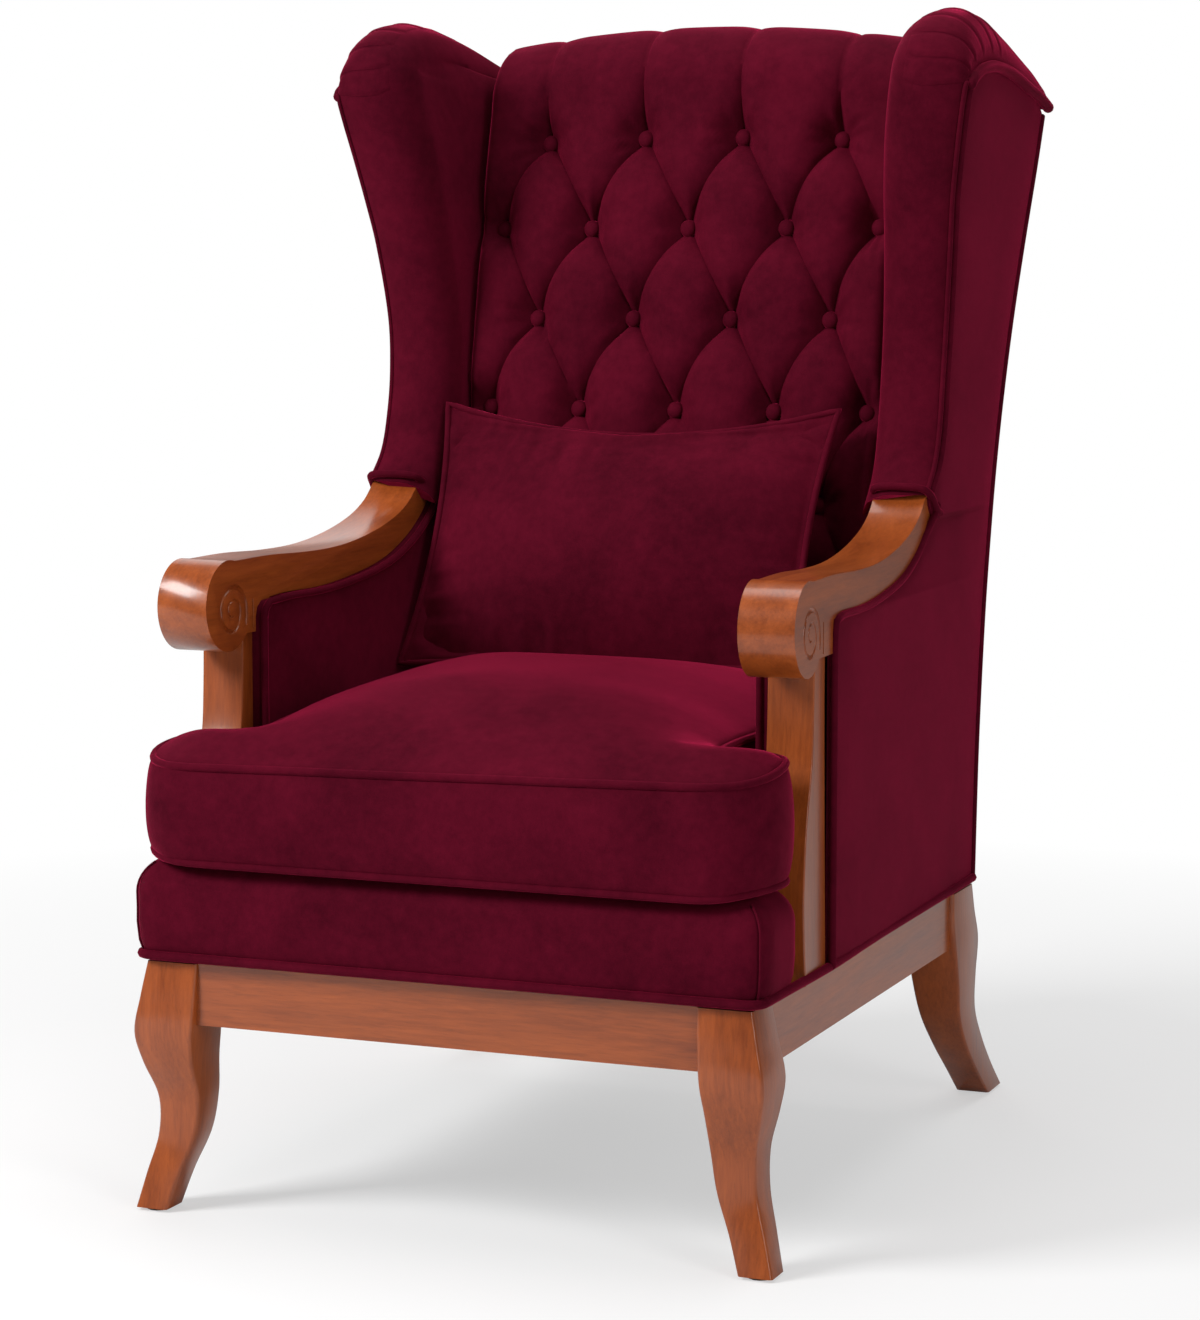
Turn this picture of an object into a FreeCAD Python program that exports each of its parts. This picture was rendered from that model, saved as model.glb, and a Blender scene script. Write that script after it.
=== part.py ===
"""Wingback armchair with show-wood arms and legs, a tufted back, a loose seat cushion and a pillow.

Millimetres. +Z is up, the chair faces -Y and is symmetric about X = 0, apart from the loose
pillow. Inside the functions, y = 0 is the front plane of the leg tops. The exported solids are
moved back by FRONT_TO_CENTRE, so that the origin is on the floor under the middle of the chair.
"""

import FreeCAD
import Part

import math
import os

from FreeCAD import Vector

# Overall
RAIL_HALF_WIDTH = 310.0      # outer face of the side rails
FRONT_TO_CENTRE = 424.0      # from the leg-top plane to the middle of the chair's depth
RAIL_TOP = 250.0
RAIL_DEPTH = 60.0
RAIL_THICKNESS = 25.0
RAIL_SETBACK = 4.0           # front rail behind the leg tops
TENON = 14.0                 # rail end housed in a leg
SOFT_GAP = 0.3               # between loose soft pieces and what they rest on
GLIDE_HEIGHT = 3.0
GLIDE_RADIUS = 12.0

# Legs: height of a section, its inner and outer face in x, its front and back face in y
FRONT_LEG_SECTIONS = (
    (GLIDE_HEIGHT, 295.0, 329.0, 4.0, 38.0),
    (38.0, 284.0, 320.0, 10.0, 46.0),
    (75.0, 270.0, 310.0, 16.0, 56.0),
    (113.0, 264.0, 309.0, 15.0, 60.0),
    (150.0, 263.0, 318.0, 1.0, 60.0),
    (180.0, 260.0, 323.0, -6.0, 59.0),
    (215.0, 257.5, 317.0, -4.0, 56.0),
    (RAIL_TOP, 256.0, RAIL_HALF_WIDTH, 0.0, 54.5),
)
REAR_LEG_SECTIONS = (
    (GLIDE_HEIGHT, 280.0, 317.0, 769.0, 821.0),
    (35.0, 279.0, 316.0, 729.0, 784.0),
    (72.0, 275.0, 315.0, 688.0, 748.0),
    (110.0, 269.0, 315.0, 659.0, 720.0),
    (150.0, 264.0, 317.0, 645.0, 714.0),
    (188.0, 262.0, 317.0, 634.0, 722.0),
    (220.0, 262.0, 315.5, 629.0, 712.0),
    (RAIL_TOP, 262.0, 315.0, 629.0, 702.0),
)
ARRIS = 3.0

# Corner blocks and their bolts
BLOCK_REACH = 62.0
BLOCK_HEIGHT = 42.0
BLOCK_RISE = 12.0            # block's underside above the rail's
BOLT_RADIUS = 4.0
BOLT_IN_LEG = 24.0
NUT_ACROSS = 13.0
NUT_HEIGHT = 6.5

# Arms and their posts, drawn in a vertical plane that toes out towards the front
ARM_WIDTH = 54.5
ARM_REAR_X = 285.5           # middle of the arm where the wing comes down on it
ARM_REAR_Y = 518.0
ARM_TOE_OUT = 1.8            # degrees
SCROLL_Y = 105.0
SCROLL_Z = 586.0
SCROLL_RADIUS = 45.0
SCROLL_STEPS = 17
ARM_NECK_BACK = 185.0
ARM_NECK_FRONT = 146.0
POST_TOP = 556.0
POST_WIDTH = 45.5
DOWEL_RADIUS = 5.0
DOWEL_LENGTH = 36.0
# Carved volute on both faces of the scroll: angle in degrees, radius, width of the groove
VOLUTE = ((-30, 31.0, 2.6), (30, 26.0, 3.6), (90, 23.5, 3.8), (180, 22.5, 3.4), (270, 20.0, 3.0),
          (360, 15.0, 2.6), (450, 11.0, 2.2), (540, 8.0, 1.8), (630, 5.5, 1.2))
VOLUTE_Y = 112.0
VOLUTE_Z = 580.0
VOLUTE_DEPTH = 1.6
VOLUTE_STEP = 30             # degrees

# Soft seat
DECK_TOP = 352.0
DECK_FRONT = -8.0
DECK_EAR_HALF_WIDTH = 324.0
DECK_STEM_HALF_WIDTH = 244.0
DECK_EAR_BACK = 108.0
DECK_COVER = 4.0
DECK_ROLL = 34.0
DECK_CORNER = 16.0
CUSHION_FRONT = -20.0
CUSHION_BACK = 508.0
CUSHION_EAR_HALF_WIDTH = 326.0
CUSHION_EAR_BACK = 100.0
CUSHION_STEM_HALF_WIDTH = 245.0
CUSHION_SEAM = 122.0         # top seam above the deck at the back
CUSHION_CROWN = 46.0
CUSHION_SIDE_BULGE = 8.0
CUSHION_NOSE_DROP = 22.0
CORNER_STEPS = 4
CROWN_REACH = 340.0          # half width of the crown's surface, wider than the cushion

# Back: rake of the tufted face and the button lattice
BACK_HALF_WIDTH = 243.0
BACK_RAKE = 0.195            # y per z of the tufted face
BUTTON_FIRST_Z = 1053.0
BUTTON_FIRST_Y = 683.0
BUTTON_ROW_STEP = 97.7
BUTTON_ROWS = 6
BUTTON_PITCH = 112.5
BUTTON_OUTER_X = 217.0       # last button of a wide row, drawn in from the full pitch
BUTTON_RADIUS = 8.5
BUTTON_HEIGHT = 7.0
BUTTON_SIDES = 8
BUTTON_CLEARANCE = 0.4
TUFT_STEPS = 4
TUFT_CROWN = 31.0
TUFT_FOLD = 15.0
BACK_PAD_BOTTOM = DECK_TOP + 1.0
BACK_TOP_MIDDLE = 1142.0
BACK_TOP_SIDE = 1122.0
BACK_PAD_THICKNESS = 70.0    # from the button line to the back of the pad
BACK_POST_INNER_X = 266.0
BACK_POST_OUTER_X = 300.0
CREST_TOP = 1105.0
CREST_THICKNESS = 25.0
CROSS_RAIL_DEPTH = 24.0
UPPER_CROSS_RAIL_Z = 1020.0
LOWER_CROSS_RAIL_Z = 372.0
CROSS_RAIL_HEIGHT = 52.0
ARM_PAD_IN = -38.0           # inner arm pad's face, from the middle of the arm
WING_FRAME_THICKNESS = 22.0
WING_PAD_BOTTOM = 686.0
WEB_WIDTH = 50.0
WEB_THICKNESS = 2.0
BOARD = 4.0                  # outer panels: card and cloth

# Pillow
PILLOW_HALF_WIDTH = 226.0
PILLOW_HALF_HEIGHT = 152.0
PILLOW_WAIST = 27.0          # how far its long edges draw in
PILLOW_END_WAIST = 14.0
PILLOW_THICKNESS = 108.0
PILLOW_X = -20.5
PILLOW_Y = 501.5
PILLOW_Z = 629.5
PILLOW_LEAN = 25.0           # degrees from upright
WELT_RADIUS = 3.6            # covered cord in the seams of the loose cushion and the pillow
WELT_SIDES = 6

PARTS = {}


def vec(x, y, z):
    """Return a vector."""
    return Vector(x, y, z)


def box(x0, x1, y0, y1, z0, z1):
    """Return a box between two corners."""
    return Part.makeBox(x1 - x0, y1 - y0, z1 - z0, vec(x0, y0, z0))


def mirrored(shape):
    """Return the shape's mirror image across X = 0."""
    return shape.mirror(vec(0, 0, 0), vec(1, 0, 0))


def add(node, shape):
    """Keep a node's shape, moved so that the origin is under the middle of the chair."""
    kept = shape.copy()
    kept.translate(vec(0, -FRONT_TO_CENTRE, 0))
    PARTS[node] = kept


def add_pair(stem, right):
    """Keep a piece of the chair's right side (+X) and its mirror image."""
    add(stem + "_right", right)
    add(stem + "_left", mirrored(right))


def polygon(points):
    """Return a closed wire through the points."""
    return Part.makePolygon(list(points) + [points[0]])


def prism(points, along):
    """Return the solid that a flat polygon sweeps along a vector."""
    return Part.Face(polygon(points)).extrude(along)


def between(table, z):
    """Return the value at height z of a table of (z, value) rows, held level past its ends."""
    if z <= table[0][0]:
        return table[0][1]
    for (z0, v0), (z1, v1) in zip(table, table[1:]):
        if z <= z1:
            return v0 + (v1 - v0) * (z - z0) / (z1 - z0)
    return table[-1][1]


def chamfered_section(z, x0, x1, y0, y1, cut):
    """Return the corners of a level rectangle with its corners taken off."""
    corners = (
        (x0 + cut, y0), (x1 - cut, y0), (x1, y0 + cut), (x1, y1 - cut),
        (x1 - cut, y1), (x0 + cut, y1), (x0, y1 - cut), (x0, y0 + cut),
    )
    return [vec(x, y, z) for x, y in corners]


def smooth_rows(rows, steps):
    """Return rows of numbers with steps smooth rows put in between each pair."""
    result = []
    last = len(rows) - 1
    for k in range(last):
        a, b, c, d = rows[max(k - 1, 0)], rows[k], rows[k + 1], rows[min(k + 2, last)]
        for n in range(steps):
            t = n / steps
            row = []
            for p, q, r, s in zip(a, b, c, d):
                bend = (r - p) * t + (2 * p - 5 * q + 4 * r - s) * t * t + (3 * q - p - 3 * r + s) * t ** 3
                row.append(q + bend / 2)
            result.append(tuple(row))
    result.append(tuple(rows[-1]))
    return result


def upright(points, steps):
    """Return points in the plane x = 0 on a smooth line through (y, z) points."""
    return [vec(0, y, z) for y, z in smooth_rows(points, steps)]


def arc_points(centre_y, centre_z, radius, start, end, steps):
    """Return points in the plane x = 0 on an arc between two angles in degrees, both ends included."""
    points = []
    for k in range(steps + 1):
        angle = math.radians(start + (end - start) * k / steps)
        points.append(vec(0, centre_y + radius * math.cos(angle), centre_z + radius * math.sin(angle)))
    return points


def panes(a, b, c, d, first=None):
    """Return the flat face or the two triangles between four corners, split from a to c if first."""
    normal = (b - a).cross(c - a)
    if abs((d - a).dot(normal)) < 1e-7 * max(normal.Length, 1e-9):
        return [Part.Face(polygon([a, b, c, d]))]
    if first is None:
        first = (a - c).Length < (b - d).Length
    if first:
        return [Part.Face(polygon([a, b, c])), Part.Face(polygon([a, c, d]))]
    return [Part.Face(polygon([a, b, d])), Part.Face(polygon([b, c, d]))]


def sewn_solid(faces):
    """Return the solid that a closed set of faces bounds."""
    shell = Part.makeShell(faces)
    shell.sewShape()
    closed = max(shell.Shells, key=lambda part: len(part.Faces))
    solid = Part.Solid(closed)
    if solid.Orientation == "Reversed":
        turned = closed.Faces
        for face in turned:
            face.reverse()
        solid = Part.Solid(Part.makeShell(turned))
    return solid


def stacked(rings):
    """Return the solid through a stack of flat polygons with equal numbers of corners."""
    faces = [Part.Face(polygon(rings[0])), Part.Face(polygon(rings[-1]))]
    for low, high in zip(rings, rings[1:]):
        for k in range(len(low)):
            n = (k + 1) % len(low)
            faces += panes(low[k], low[n], high[n], high[k])
    return sewn_solid(faces)


def shaped_leg(sections):
    """Return a leg through smoothly spaced sections."""
    return stacked([chamfered_section(*row, ARRIS) for row in smooth_rows(sections, 2)])


def cord(line, radius, up):
    """Return a covered cord along a closed line of points in a plane across up, drawn with flat sides."""
    rings = []
    count = len(line)
    for k in range(count):
        before = (line[k] - line[k - 1]).normalize()
        after = (line[(k + 1) % count] - line[k]).normalize()
        along = (before + after).normalize()
        level = along.cross(up).normalize()
        stretch = 1 / max(along.dot(after), 0.6)
        rise = level.cross(along)
        points = []
        for n in range(WELT_SIDES):
            angle = 2 * math.pi * (n + 0.5) / WELT_SIDES
            across = level * (radius * stretch * math.cos(angle))
            points.append(line[k] + across + rise * (radius * math.sin(angle)))
        rings.append(points)
    faces = []
    for k in range(count):
        low, high = rings[k - 1], rings[k]
        for n in range(WELT_SIDES):
            m = (n + 1) % WELT_SIDES
            faces += panes(low[n], low[m], high[m], high[n])
    return sewn_solid(faces)


def ring(centre, axis, radius, sides):
    """Return the corners of a regular polygon about an axis."""
    level = axis.cross(vec(0, 0, 1) if abs(axis.z) < 0.9 else vec(0, 1, 0)).normalize()
    other = axis.cross(level)
    points = []
    for k in range(sides):
        angle = 2 * math.pi * (k + 0.5) / sides
        points.append(centre + level * (radius * math.cos(angle)) + other * (radius * math.sin(angle)))
    return points


def pin(foot, along, radius, sides):
    """Return a straight round piece, drawn with flat sides."""
    return prism(ring(foot, vec(along.x, along.y, along.z).normalize(), radius, sides), along)


def facets(surface, across, along):
    """Return a surface's flat faces, by rows and columns of equal parameter steps."""
    grid = [[surface.value(i / across, j / along) for j in range(along + 1)] for i in range(across + 1)]
    faces = []
    for i in range(across):
        for j in range(along):
            first = (i < across / 2) == (j < along / 2)
            faces += panes(grid[i][j], grid[i + 1][j], grid[i + 1][j + 1], grid[i][j + 1], first)
    return faces


def bezier(poles):
    """Return the Bezier surface with a grid of poles."""
    surface = Part.BezierSurface()
    surface.increase(len(poles) - 1, len(poles[0]) - 1)
    for i, row in enumerate(poles):
        for j, pole in enumerate(row):
            surface.setPole(i + 1, j + 1, pole)
    return surface


def frame_bases():
    """Rails, legs, corner blocks, bolts and glides."""
    rail_bottom = RAIL_TOP - RAIL_DEPTH
    front_leg = shaped_leg(FRONT_LEG_SECTIONS)
    rear_leg = shaped_leg(REAR_LEG_SECTIONS)
    front_inner = FRONT_LEG_SECTIONS[-1][1]
    front_back = FRONT_LEG_SECTIONS[-1][4]
    rear_inner = REAR_LEG_SECTIONS[-1][1]
    rear_front = REAR_LEG_SECTIONS[-1][3]
    rear_back = REAR_LEG_SECTIONS[-1][4]

    rail_front = RAIL_SETBACK
    rail_inner_y = rail_front + RAIL_THICKNESS
    front_rail = box(-front_inner - TENON, front_inner + TENON, rail_front, rail_inner_y, rail_bottom, RAIL_TOP)
    rear_rail = box(
        -rear_inner - TENON, rear_inner + TENON,
        rear_back - RAIL_THICKNESS - 2, rear_back - 2, rail_bottom, RAIL_TOP,
    )
    side_inner = RAIL_HALF_WIDTH - RAIL_THICKNESS
    side_rail = box(
        side_inner, RAIL_HALF_WIDTH, front_back - TENON, rear_front + TENON, rail_bottom, RAIL_TOP,
    )
    front_leg = front_leg.cut(front_rail).cut(side_rail)
    rear_leg = rear_leg.cut(rear_rail).cut(side_rail)

    blocks = []
    bolts = []
    block_z = rail_bottom + BLOCK_RISE
    corners = (
        (front_inner, front_back, rail_inner_y, 1, "front"),
        (rear_inner, rear_front, rear_back - RAIL_THICKNESS - 2, -1, "rear"),
    )
    for leg_x, leg_y, rail_y, turn, name in corners:
        outline = [
            vec(side_inner, leg_y + turn * BLOCK_REACH, block_z),
            vec(side_inner, leg_y - turn * 6, block_z),
            vec(leg_x + 6, leg_y - turn * 6, block_z),
            vec(leg_x + 6, rail_y, block_z),
            vec(leg_x - BLOCK_REACH, rail_y, block_z),
        ]
        block = prism(outline, vec(0, 0, BLOCK_HEIGHT))
        corner = vec(leg_x, leg_y, block_z + BLOCK_HEIGHT / 2)
        inward = vec(-1, turn, 0).normalize()
        far_a = outline[0]
        far_b = outline[-1]
        face_normal = vec(-(far_a.y - far_b.y) * turn, (far_a.x - far_b.x) * turn, 0).normalize()
        if face_normal.dot(inward) < 0:
            face_normal = face_normal.negative()
        level = vec(far_a.x, far_a.y, corner.z)
        reach = (level - corner).dot(face_normal)
        foot = corner + face_normal * reach
        shank = pin(corner - face_normal * BOLT_IN_LEG,
                    face_normal * (reach + BOLT_IN_LEG + NUT_HEIGHT + 3), BOLT_RADIUS, 8)
        nut = pin(foot, face_normal * NUT_HEIGHT, NUT_ACROSS / math.sqrt(3), 6)
        bolt = shank.fuse(nut).removeSplitter()
        if name == "front":
            block = block.cut(front_leg).cut(shank)
            front_leg = front_leg.cut(shank)
        else:
            block = block.cut(rear_leg).cut(shank)
            rear_leg = rear_leg.cut(shank)
        blocks += [block, mirrored(block)]
        bolts += [bolt, mirrored(bolt)]

    glides = []
    for sections in (FRONT_LEG_SECTIONS, REAR_LEG_SECTIONS):
        _, x0, x1, y0, y1 = sections[0]
        glide = pin(vec((x0 + x1) / 2, (y0 + y1) / 2, 0), vec(0, 0, GLIDE_HEIGHT), GLIDE_RADIUS, 12)
        glides += [glide, mirrored(glide)]

    add("front_rail", front_rail)
    add("rear_rail", rear_rail)
    add_pair("side_rail", side_rail)
    add_pair("front_leg", front_leg)
    add_pair("rear_leg", rear_leg)
    add("corner_blocks", Part.makeCompound(blocks))
    add("leg_bolts", Part.makeCompound(bolts))
    add("foot_glides", Part.makeCompound(glides))


def toe_out(shape):
    """Turn and move a piece drawn about x = 0 into the arm's own plane."""
    turned = shape.copy()
    turned.rotate(vec(0, ARM_REAR_Y, 0), vec(0, 0, 1), ARM_TOE_OUT)
    turned.translate(vec(ARM_REAR_X, 0, 0))
    return turned


# Underside of the arm, where the side panels and the inner pads meet it, front to back: y, z
ARM_BELLY = ((ARM_NECK_BACK, 588), (215, 590), (290, 590), (363, 596), (430, 607), (481, 625), (516, 645),
             (545, 670), (572, 700))
ARM_TOP = ((546, 714), (531, 699), (515, 683), (492, 664), (457, 649), (400, 636), (335, 628.5), (264, 627.5),
           (187, 630), (SCROLL_Y + 12, SCROLL_Z + SCROLL_RADIUS * 0.965))
POST_FRONT = ((118, RAIL_TOP), (112, 294), (110, 341), (118, 403), (133, 455), (137, 499), (139, POST_TOP))
POST_BACK = ((173, POST_TOP), (173, 504), (177, 380), (182, RAIL_TOP))


def volute(face, depth):
    """Return the spiral groove of one face of the scroll, to be cut away."""
    inner = []
    outer = []
    last = VOLUTE[-1][0]
    for angle in range(VOLUTE[0][0], last + 1, VOLUTE_STEP):
        radius = between([(row[0], row[1]) for row in VOLUTE], angle)
        half = between([(row[0], row[2]) for row in VOLUTE], angle) / 2
        turn = math.radians(angle)
        for line, reach in ((inner, radius - half), (outer, radius + half)):
            line.append(vec(face, VOLUTE_Y + reach * math.cos(turn), VOLUTE_Z + reach * math.sin(turn)))
    return prism(outer + inner[::-1], vec(-depth, 0, 0))


def arms():
    """Scroll arms, their posts and the dowels that pin them."""
    heel = -math.degrees(math.asin((SCROLL_Z - POST_TOP) / SCROLL_RADIUS))
    outline = upright(ARM_TOP, 3)[:-1]
    outline += arc_points(SCROLL_Y, SCROLL_Z, SCROLL_RADIUS, 75, 360 + heel, SCROLL_STEPS)
    outline.append(vec(0, ARM_NECK_BACK, POST_TOP))
    outline += upright(ARM_BELLY, 2)
    arm = prism(outline, vec(ARM_WIDTH, 0, 0))
    arm.translate(vec(-ARM_WIDTH / 2, 0, 0))
    for sign in (-1, 1):
        arm = arm.cut(volute(sign * ARM_WIDTH / 2, sign * VOLUTE_DEPTH))

    post = prism(upright(POST_FRONT, 2) + upright(POST_BACK, 2), vec(POST_WIDTH, 0, 0))
    post.translate(vec(-POST_WIDTH / 2, 0, 0))

    dowels = []
    for y in (150.0, 166.0):
        dowel = pin(vec(0, y, POST_TOP - DOWEL_LENGTH / 2), vec(0, 0, DOWEL_LENGTH), DOWEL_RADIUS, 10)
        arm = arm.cut(dowel)
        post = post.cut(dowel)
        dowels.append(toe_out(dowel))
    arm = toe_out(arm)
    post = toe_out(post)
    add_pair("arm", arm)
    add_pair("arm_post", post)
    add("arm_dowels", Part.makeCompound(dowels + [mirrored(dowel) for dowel in dowels]))
    return arm


# Outer shape of the wings and sides, by height: front edge, back edge and the two outer faces
WING_FRONT_Y = ((660, 534), (683, 518), (714, 549), (752, 565), (800, 574), (860, 576), (940, 562),
                (987, 548), (1034, 535), (1071, 525), (1100, 521), (1125, 528))
WING_FRONT_X = ((700, 316), (800, 316), (860, 318.5), (940, 326), (1034, 340), (1100, 352), (1125, 354))
BACK_EDGE_Y = ((254, 705), (404, 715), (539, 733), (620, 750), (700, 771), (781, 794), (863, 817),
               (945, 838), (1029, 856), (1110, 868))
BACK_EDGE_X = ((700, 314), (781, 315.5), (863, 319), (945, 325), (1029, 333), (1110, 341))
WING_INNER_X = ((860, 245), (985, 249), (1070, 259), (1125, 268))
SIDE_TOP = ((500, 1087), (520, 1087), (530, 1097), (552, 1110), (580, 1118), (620, 1121), (680, 1121),
            (740, 1113), (805, 1103), (900, 1090))
BACK_LEVELS = tuple(row[0] for row in BACK_EDGE_Y[:-1])
# Rolled front of the wing: how far across its width, and how far out of the full roll
WING_NOSE = ((0.05, 0.0), (0.2, 0.6), (0.42, 0.97), (0.62, 1.0), (0.82, 0.72), (0.95, 0.2))
# Sections of the wing pad: height, fall towards the back, inset, and 1 where it runs back over the crest
WING_LEVELS = (
    (WING_PAD_BOTTOM, 0.0, 0.0, 0), (714, 0.0, 0.0, 0), (752, 0.0, 0.0, 0), (800, 0.0, 0.0, 0),
    (860, 0.0, 0.0, 0), (940, 0.0, 0.0, 0), (987, 0.0, 0.0, 0), (1034, 0.0, 0.0, 0), (1071, 0.0, 0.0, 0),
    (1100, 0.03, 0.0, 0), (1112, 0.05, 0.0, 1), (1125, 0.07, 0.5, 1), (1135, 0.08, 2.0, 1),
    (1149, 0.1, 5.5, 1), (1161, 0.12, 12.0, 1), (1170, 0.13, 21.0, 1), (1175, 0.14, 32.0, 1),
)
WING_TUCK = 2.5              # wing pad's outer face, inside the side panel
SIDE_LEVELS = (254, 420, 586, 590, 597, 608, 626, 646, 661, WING_PAD_BOTTOM, 714, 752, 800, 860, 940, 987, 1034,
               1071, 1100, 1110, 1122)


def arm_plane_x(y):
    """Return the outer face of the arm's plane at depth y."""
    toe = math.tan(math.radians(ARM_TOE_OUT))
    return ARM_REAR_X + ARM_WIDTH / 2 + max(0.0, ARM_REAR_Y - y) * toe


def side_front(z):
    """Return (x, y) of the side panel's front edge at height z."""
    if z < 588:
        y = ARM_NECK_BACK + 1
        return arm_plane_x(y), y
    if z < 660:
        y = between(((588, 187), (591, 290), (597, 363), (608, 430), (626, 481), (646, 516), (660, 534)), z)
        return arm_plane_x(y), y
    return max(between(WING_FRONT_X, z), ARM_REAR_X + ARM_WIDTH / 2), between(WING_FRONT_Y, z)


def side_panels(arm):
    """Outer side panels, from the rail to the wing's top, as thin boards."""
    rings = []
    for z in sorted(set(SIDE_LEVELS + BACK_LEVELS)):
        front_x, front_y = side_front(z)
        back_x = between(BACK_EDGE_X, z)
        back_y = between(BACK_EDGE_Y, z)
        rings.append([
            vec(front_x, front_y, z), vec(back_x, back_y, z),
            vec(back_x - BOARD, back_y, z), vec(front_x - BOARD, front_y, z),
        ])
    above = [vec(200, y, z) for y, z in SIDE_TOP] + [vec(200, 900, 1200), vec(200, 500, 1200)]
    panel = stacked(rings).cut(arm).cut(prism(above, vec(200, 0, 0)))
    add_pair("outer_side_panel", panel)
    return panel


def back_plane(z):
    """Return the depth of the tufted pad's back at height z."""
    return BUTTON_FIRST_Y + BACK_PAD_THICKNESS + BACK_RAKE * (z - BUTTON_FIRST_Z)


def outer_back(side_panel):
    """Outer back panel between the side panels."""
    rings = []
    for z in BACK_LEVELS + (CREST_TOP,):
        x = between(BACK_EDGE_X, z) - BOARD
        y = between(BACK_EDGE_Y, z)
        rings.append([vec(-x, y - BOARD, z), vec(x, y - BOARD, z), vec(x, y, z), vec(-x, y, z)])
    panel = stacked(rings).cut(side_panel).cut(mirrored(side_panel))
    add("outer_back_panel", panel)
    return panel


def back_frame():
    """Back posts, crest rail, cross rails and the webbing of the back."""
    rings = []
    for z in (RAIL_TOP,) + BACK_LEVELS + (CREST_TOP - CREST_THICKNESS,):
        front = max(back_plane(z) + WEB_THICKNESS * 2, 640)
        rear = between(BACK_EDGE_Y, z) - BOARD
        rings.append([
            vec(BACK_POST_INNER_X, front, z), vec(BACK_POST_OUTER_X, front, z),
            vec(BACK_POST_OUTER_X, rear, z), vec(BACK_POST_INNER_X, rear, z),
        ])
    post = stacked(rings)
    add_pair("back_post", post)

    crest_bottom = CREST_TOP - CREST_THICKNESS
    crest = box(
        -BACK_POST_OUTER_X, BACK_POST_OUTER_X,
        back_plane(CREST_TOP) + WEB_THICKNESS * 2, between(BACK_EDGE_Y, crest_bottom) - BOARD,
        crest_bottom, CREST_TOP,
    )
    add("crest_rail", crest)

    rails = []
    for low in (UPPER_CROSS_RAIL_Z, LOWER_CROSS_RAIL_Z):
        high = low + CROSS_RAIL_HEIGHT
        start = WEB_THICKNESS * 2
        outline = [
            vec(-BACK_POST_INNER_X, back_plane(low) + start, low),
            vec(-BACK_POST_INNER_X, back_plane(high) + start, high),
            vec(-BACK_POST_INNER_X, back_plane(high) + start + CROSS_RAIL_DEPTH, high),
            vec(-BACK_POST_INNER_X, back_plane(low) + start + CROSS_RAIL_DEPTH, low),
        ]
        rails.append(prism(outline, vec(2 * BACK_POST_INNER_X, 0, 0)))
    add("back_cross_rails", Part.makeCompound(rails))

    straps = []
    low = LOWER_CROSS_RAIL_Z + 6
    high = UPPER_CROSS_RAIL_Z + CROSS_RAIL_HEIGHT - 6
    for k in range(4):
        x = -165 + 110 * k - WEB_WIDTH / 2
        outline = [
            vec(x, back_plane(low) + WEB_THICKNESS, low),
            vec(x, back_plane(high) + WEB_THICKNESS, high),
            vec(x, back_plane(high) + 2 * WEB_THICKNESS, high),
            vec(x, back_plane(low) + 2 * WEB_THICKNESS, low),
        ]
        straps.append(prism(outline, vec(WEB_WIDTH, 0, 0)))
    for k in range(5):
        low = 455 + 118 * k
        high = low + WEB_WIDTH
        reach = BACK_POST_OUTER_X - 6
        outline = [
            vec(-reach, back_plane(low), low), vec(-reach, back_plane(high), high),
            vec(-reach, back_plane(high) + WEB_THICKNESS, high), vec(-reach, back_plane(low) + WEB_THICKNESS, low),
        ]
        straps.append(prism(outline, vec(2 * reach, 0, 0)))
    add("back_webbing", Part.makeCompound(straps))
    return post, crest


def wing_frame(arm, post):
    """Return the wooden frame inside a wing: a stile on the arm and a rail back to the post."""
    half = WING_FRAME_THICKNESS / 2
    rings = []
    for z in (688, 800, 940, 1034, 1090):
        middle = (between(WING_INNER_X, z) + between(WING_FRONT_X, z)) / 2 + 3
        front = between(WING_FRONT_Y, z) + 16 if z > 690 else 548
        rings.append([
            vec(middle - half, front, z), vec(middle + half, front, z),
            vec(middle + half, front + 44, z), vec(middle - half, front + 44, z),
        ])
    stile = stacked(rings)
    rings = []
    top_y = between(WING_FRONT_Y, 1090) + 30
    middle = (between(WING_INNER_X, 1070) + between(WING_FRONT_X, 1070)) / 2 + 3
    for x, y in ((middle, top_y), (BACK_POST_OUTER_X - half, back_plane(1050) + WEB_THICKNESS * 2)):
        rings.append([vec(x - half, y, 1040), vec(x + half, y, 1040), vec(x + half, y, 1086), vec(x - half, y, 1086)])
    rail = stacked(rings)
    return stile.fuse(rail).cut(arm).cut(post).removeSplitter()


def wing_section(z, slope, inset, over):
    """Return the corners of the wing pad at a height, in a plane that falls towards the back."""
    front_x = max(between(WING_FRONT_X, z), 314) - inset
    inner_x = between(WING_INNER_X, z) + inset
    rear_outer = between(BACK_EDGE_X, z) - BOARD - WING_TUCK - inset
    rear_inner = BACK_HALF_WIDTH + 1 + inset
    front_y = max(between(WING_FRONT_Y, z), 522) + inset * 1.3
    rear_y = between(BACK_EDGE_Y, z) - BOARD - inset * 0.6 if over else back_plane(z)
    width = front_x - inner_x
    points = [(inner_x, front_y + width * 0.31)]
    for across, reach in WING_NOSE:
        points.append((inner_x + width * across, front_y - 17 * reach))
    step = front_y - SOFT_GAP
    points += [(front_x, step), (front_x - BOARD - WING_TUCK, step), (rear_outer, rear_y), (rear_inner, rear_y)]
    return [vec(x, y, z - slope * (y - front_y)) for x, y in points]


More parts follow.
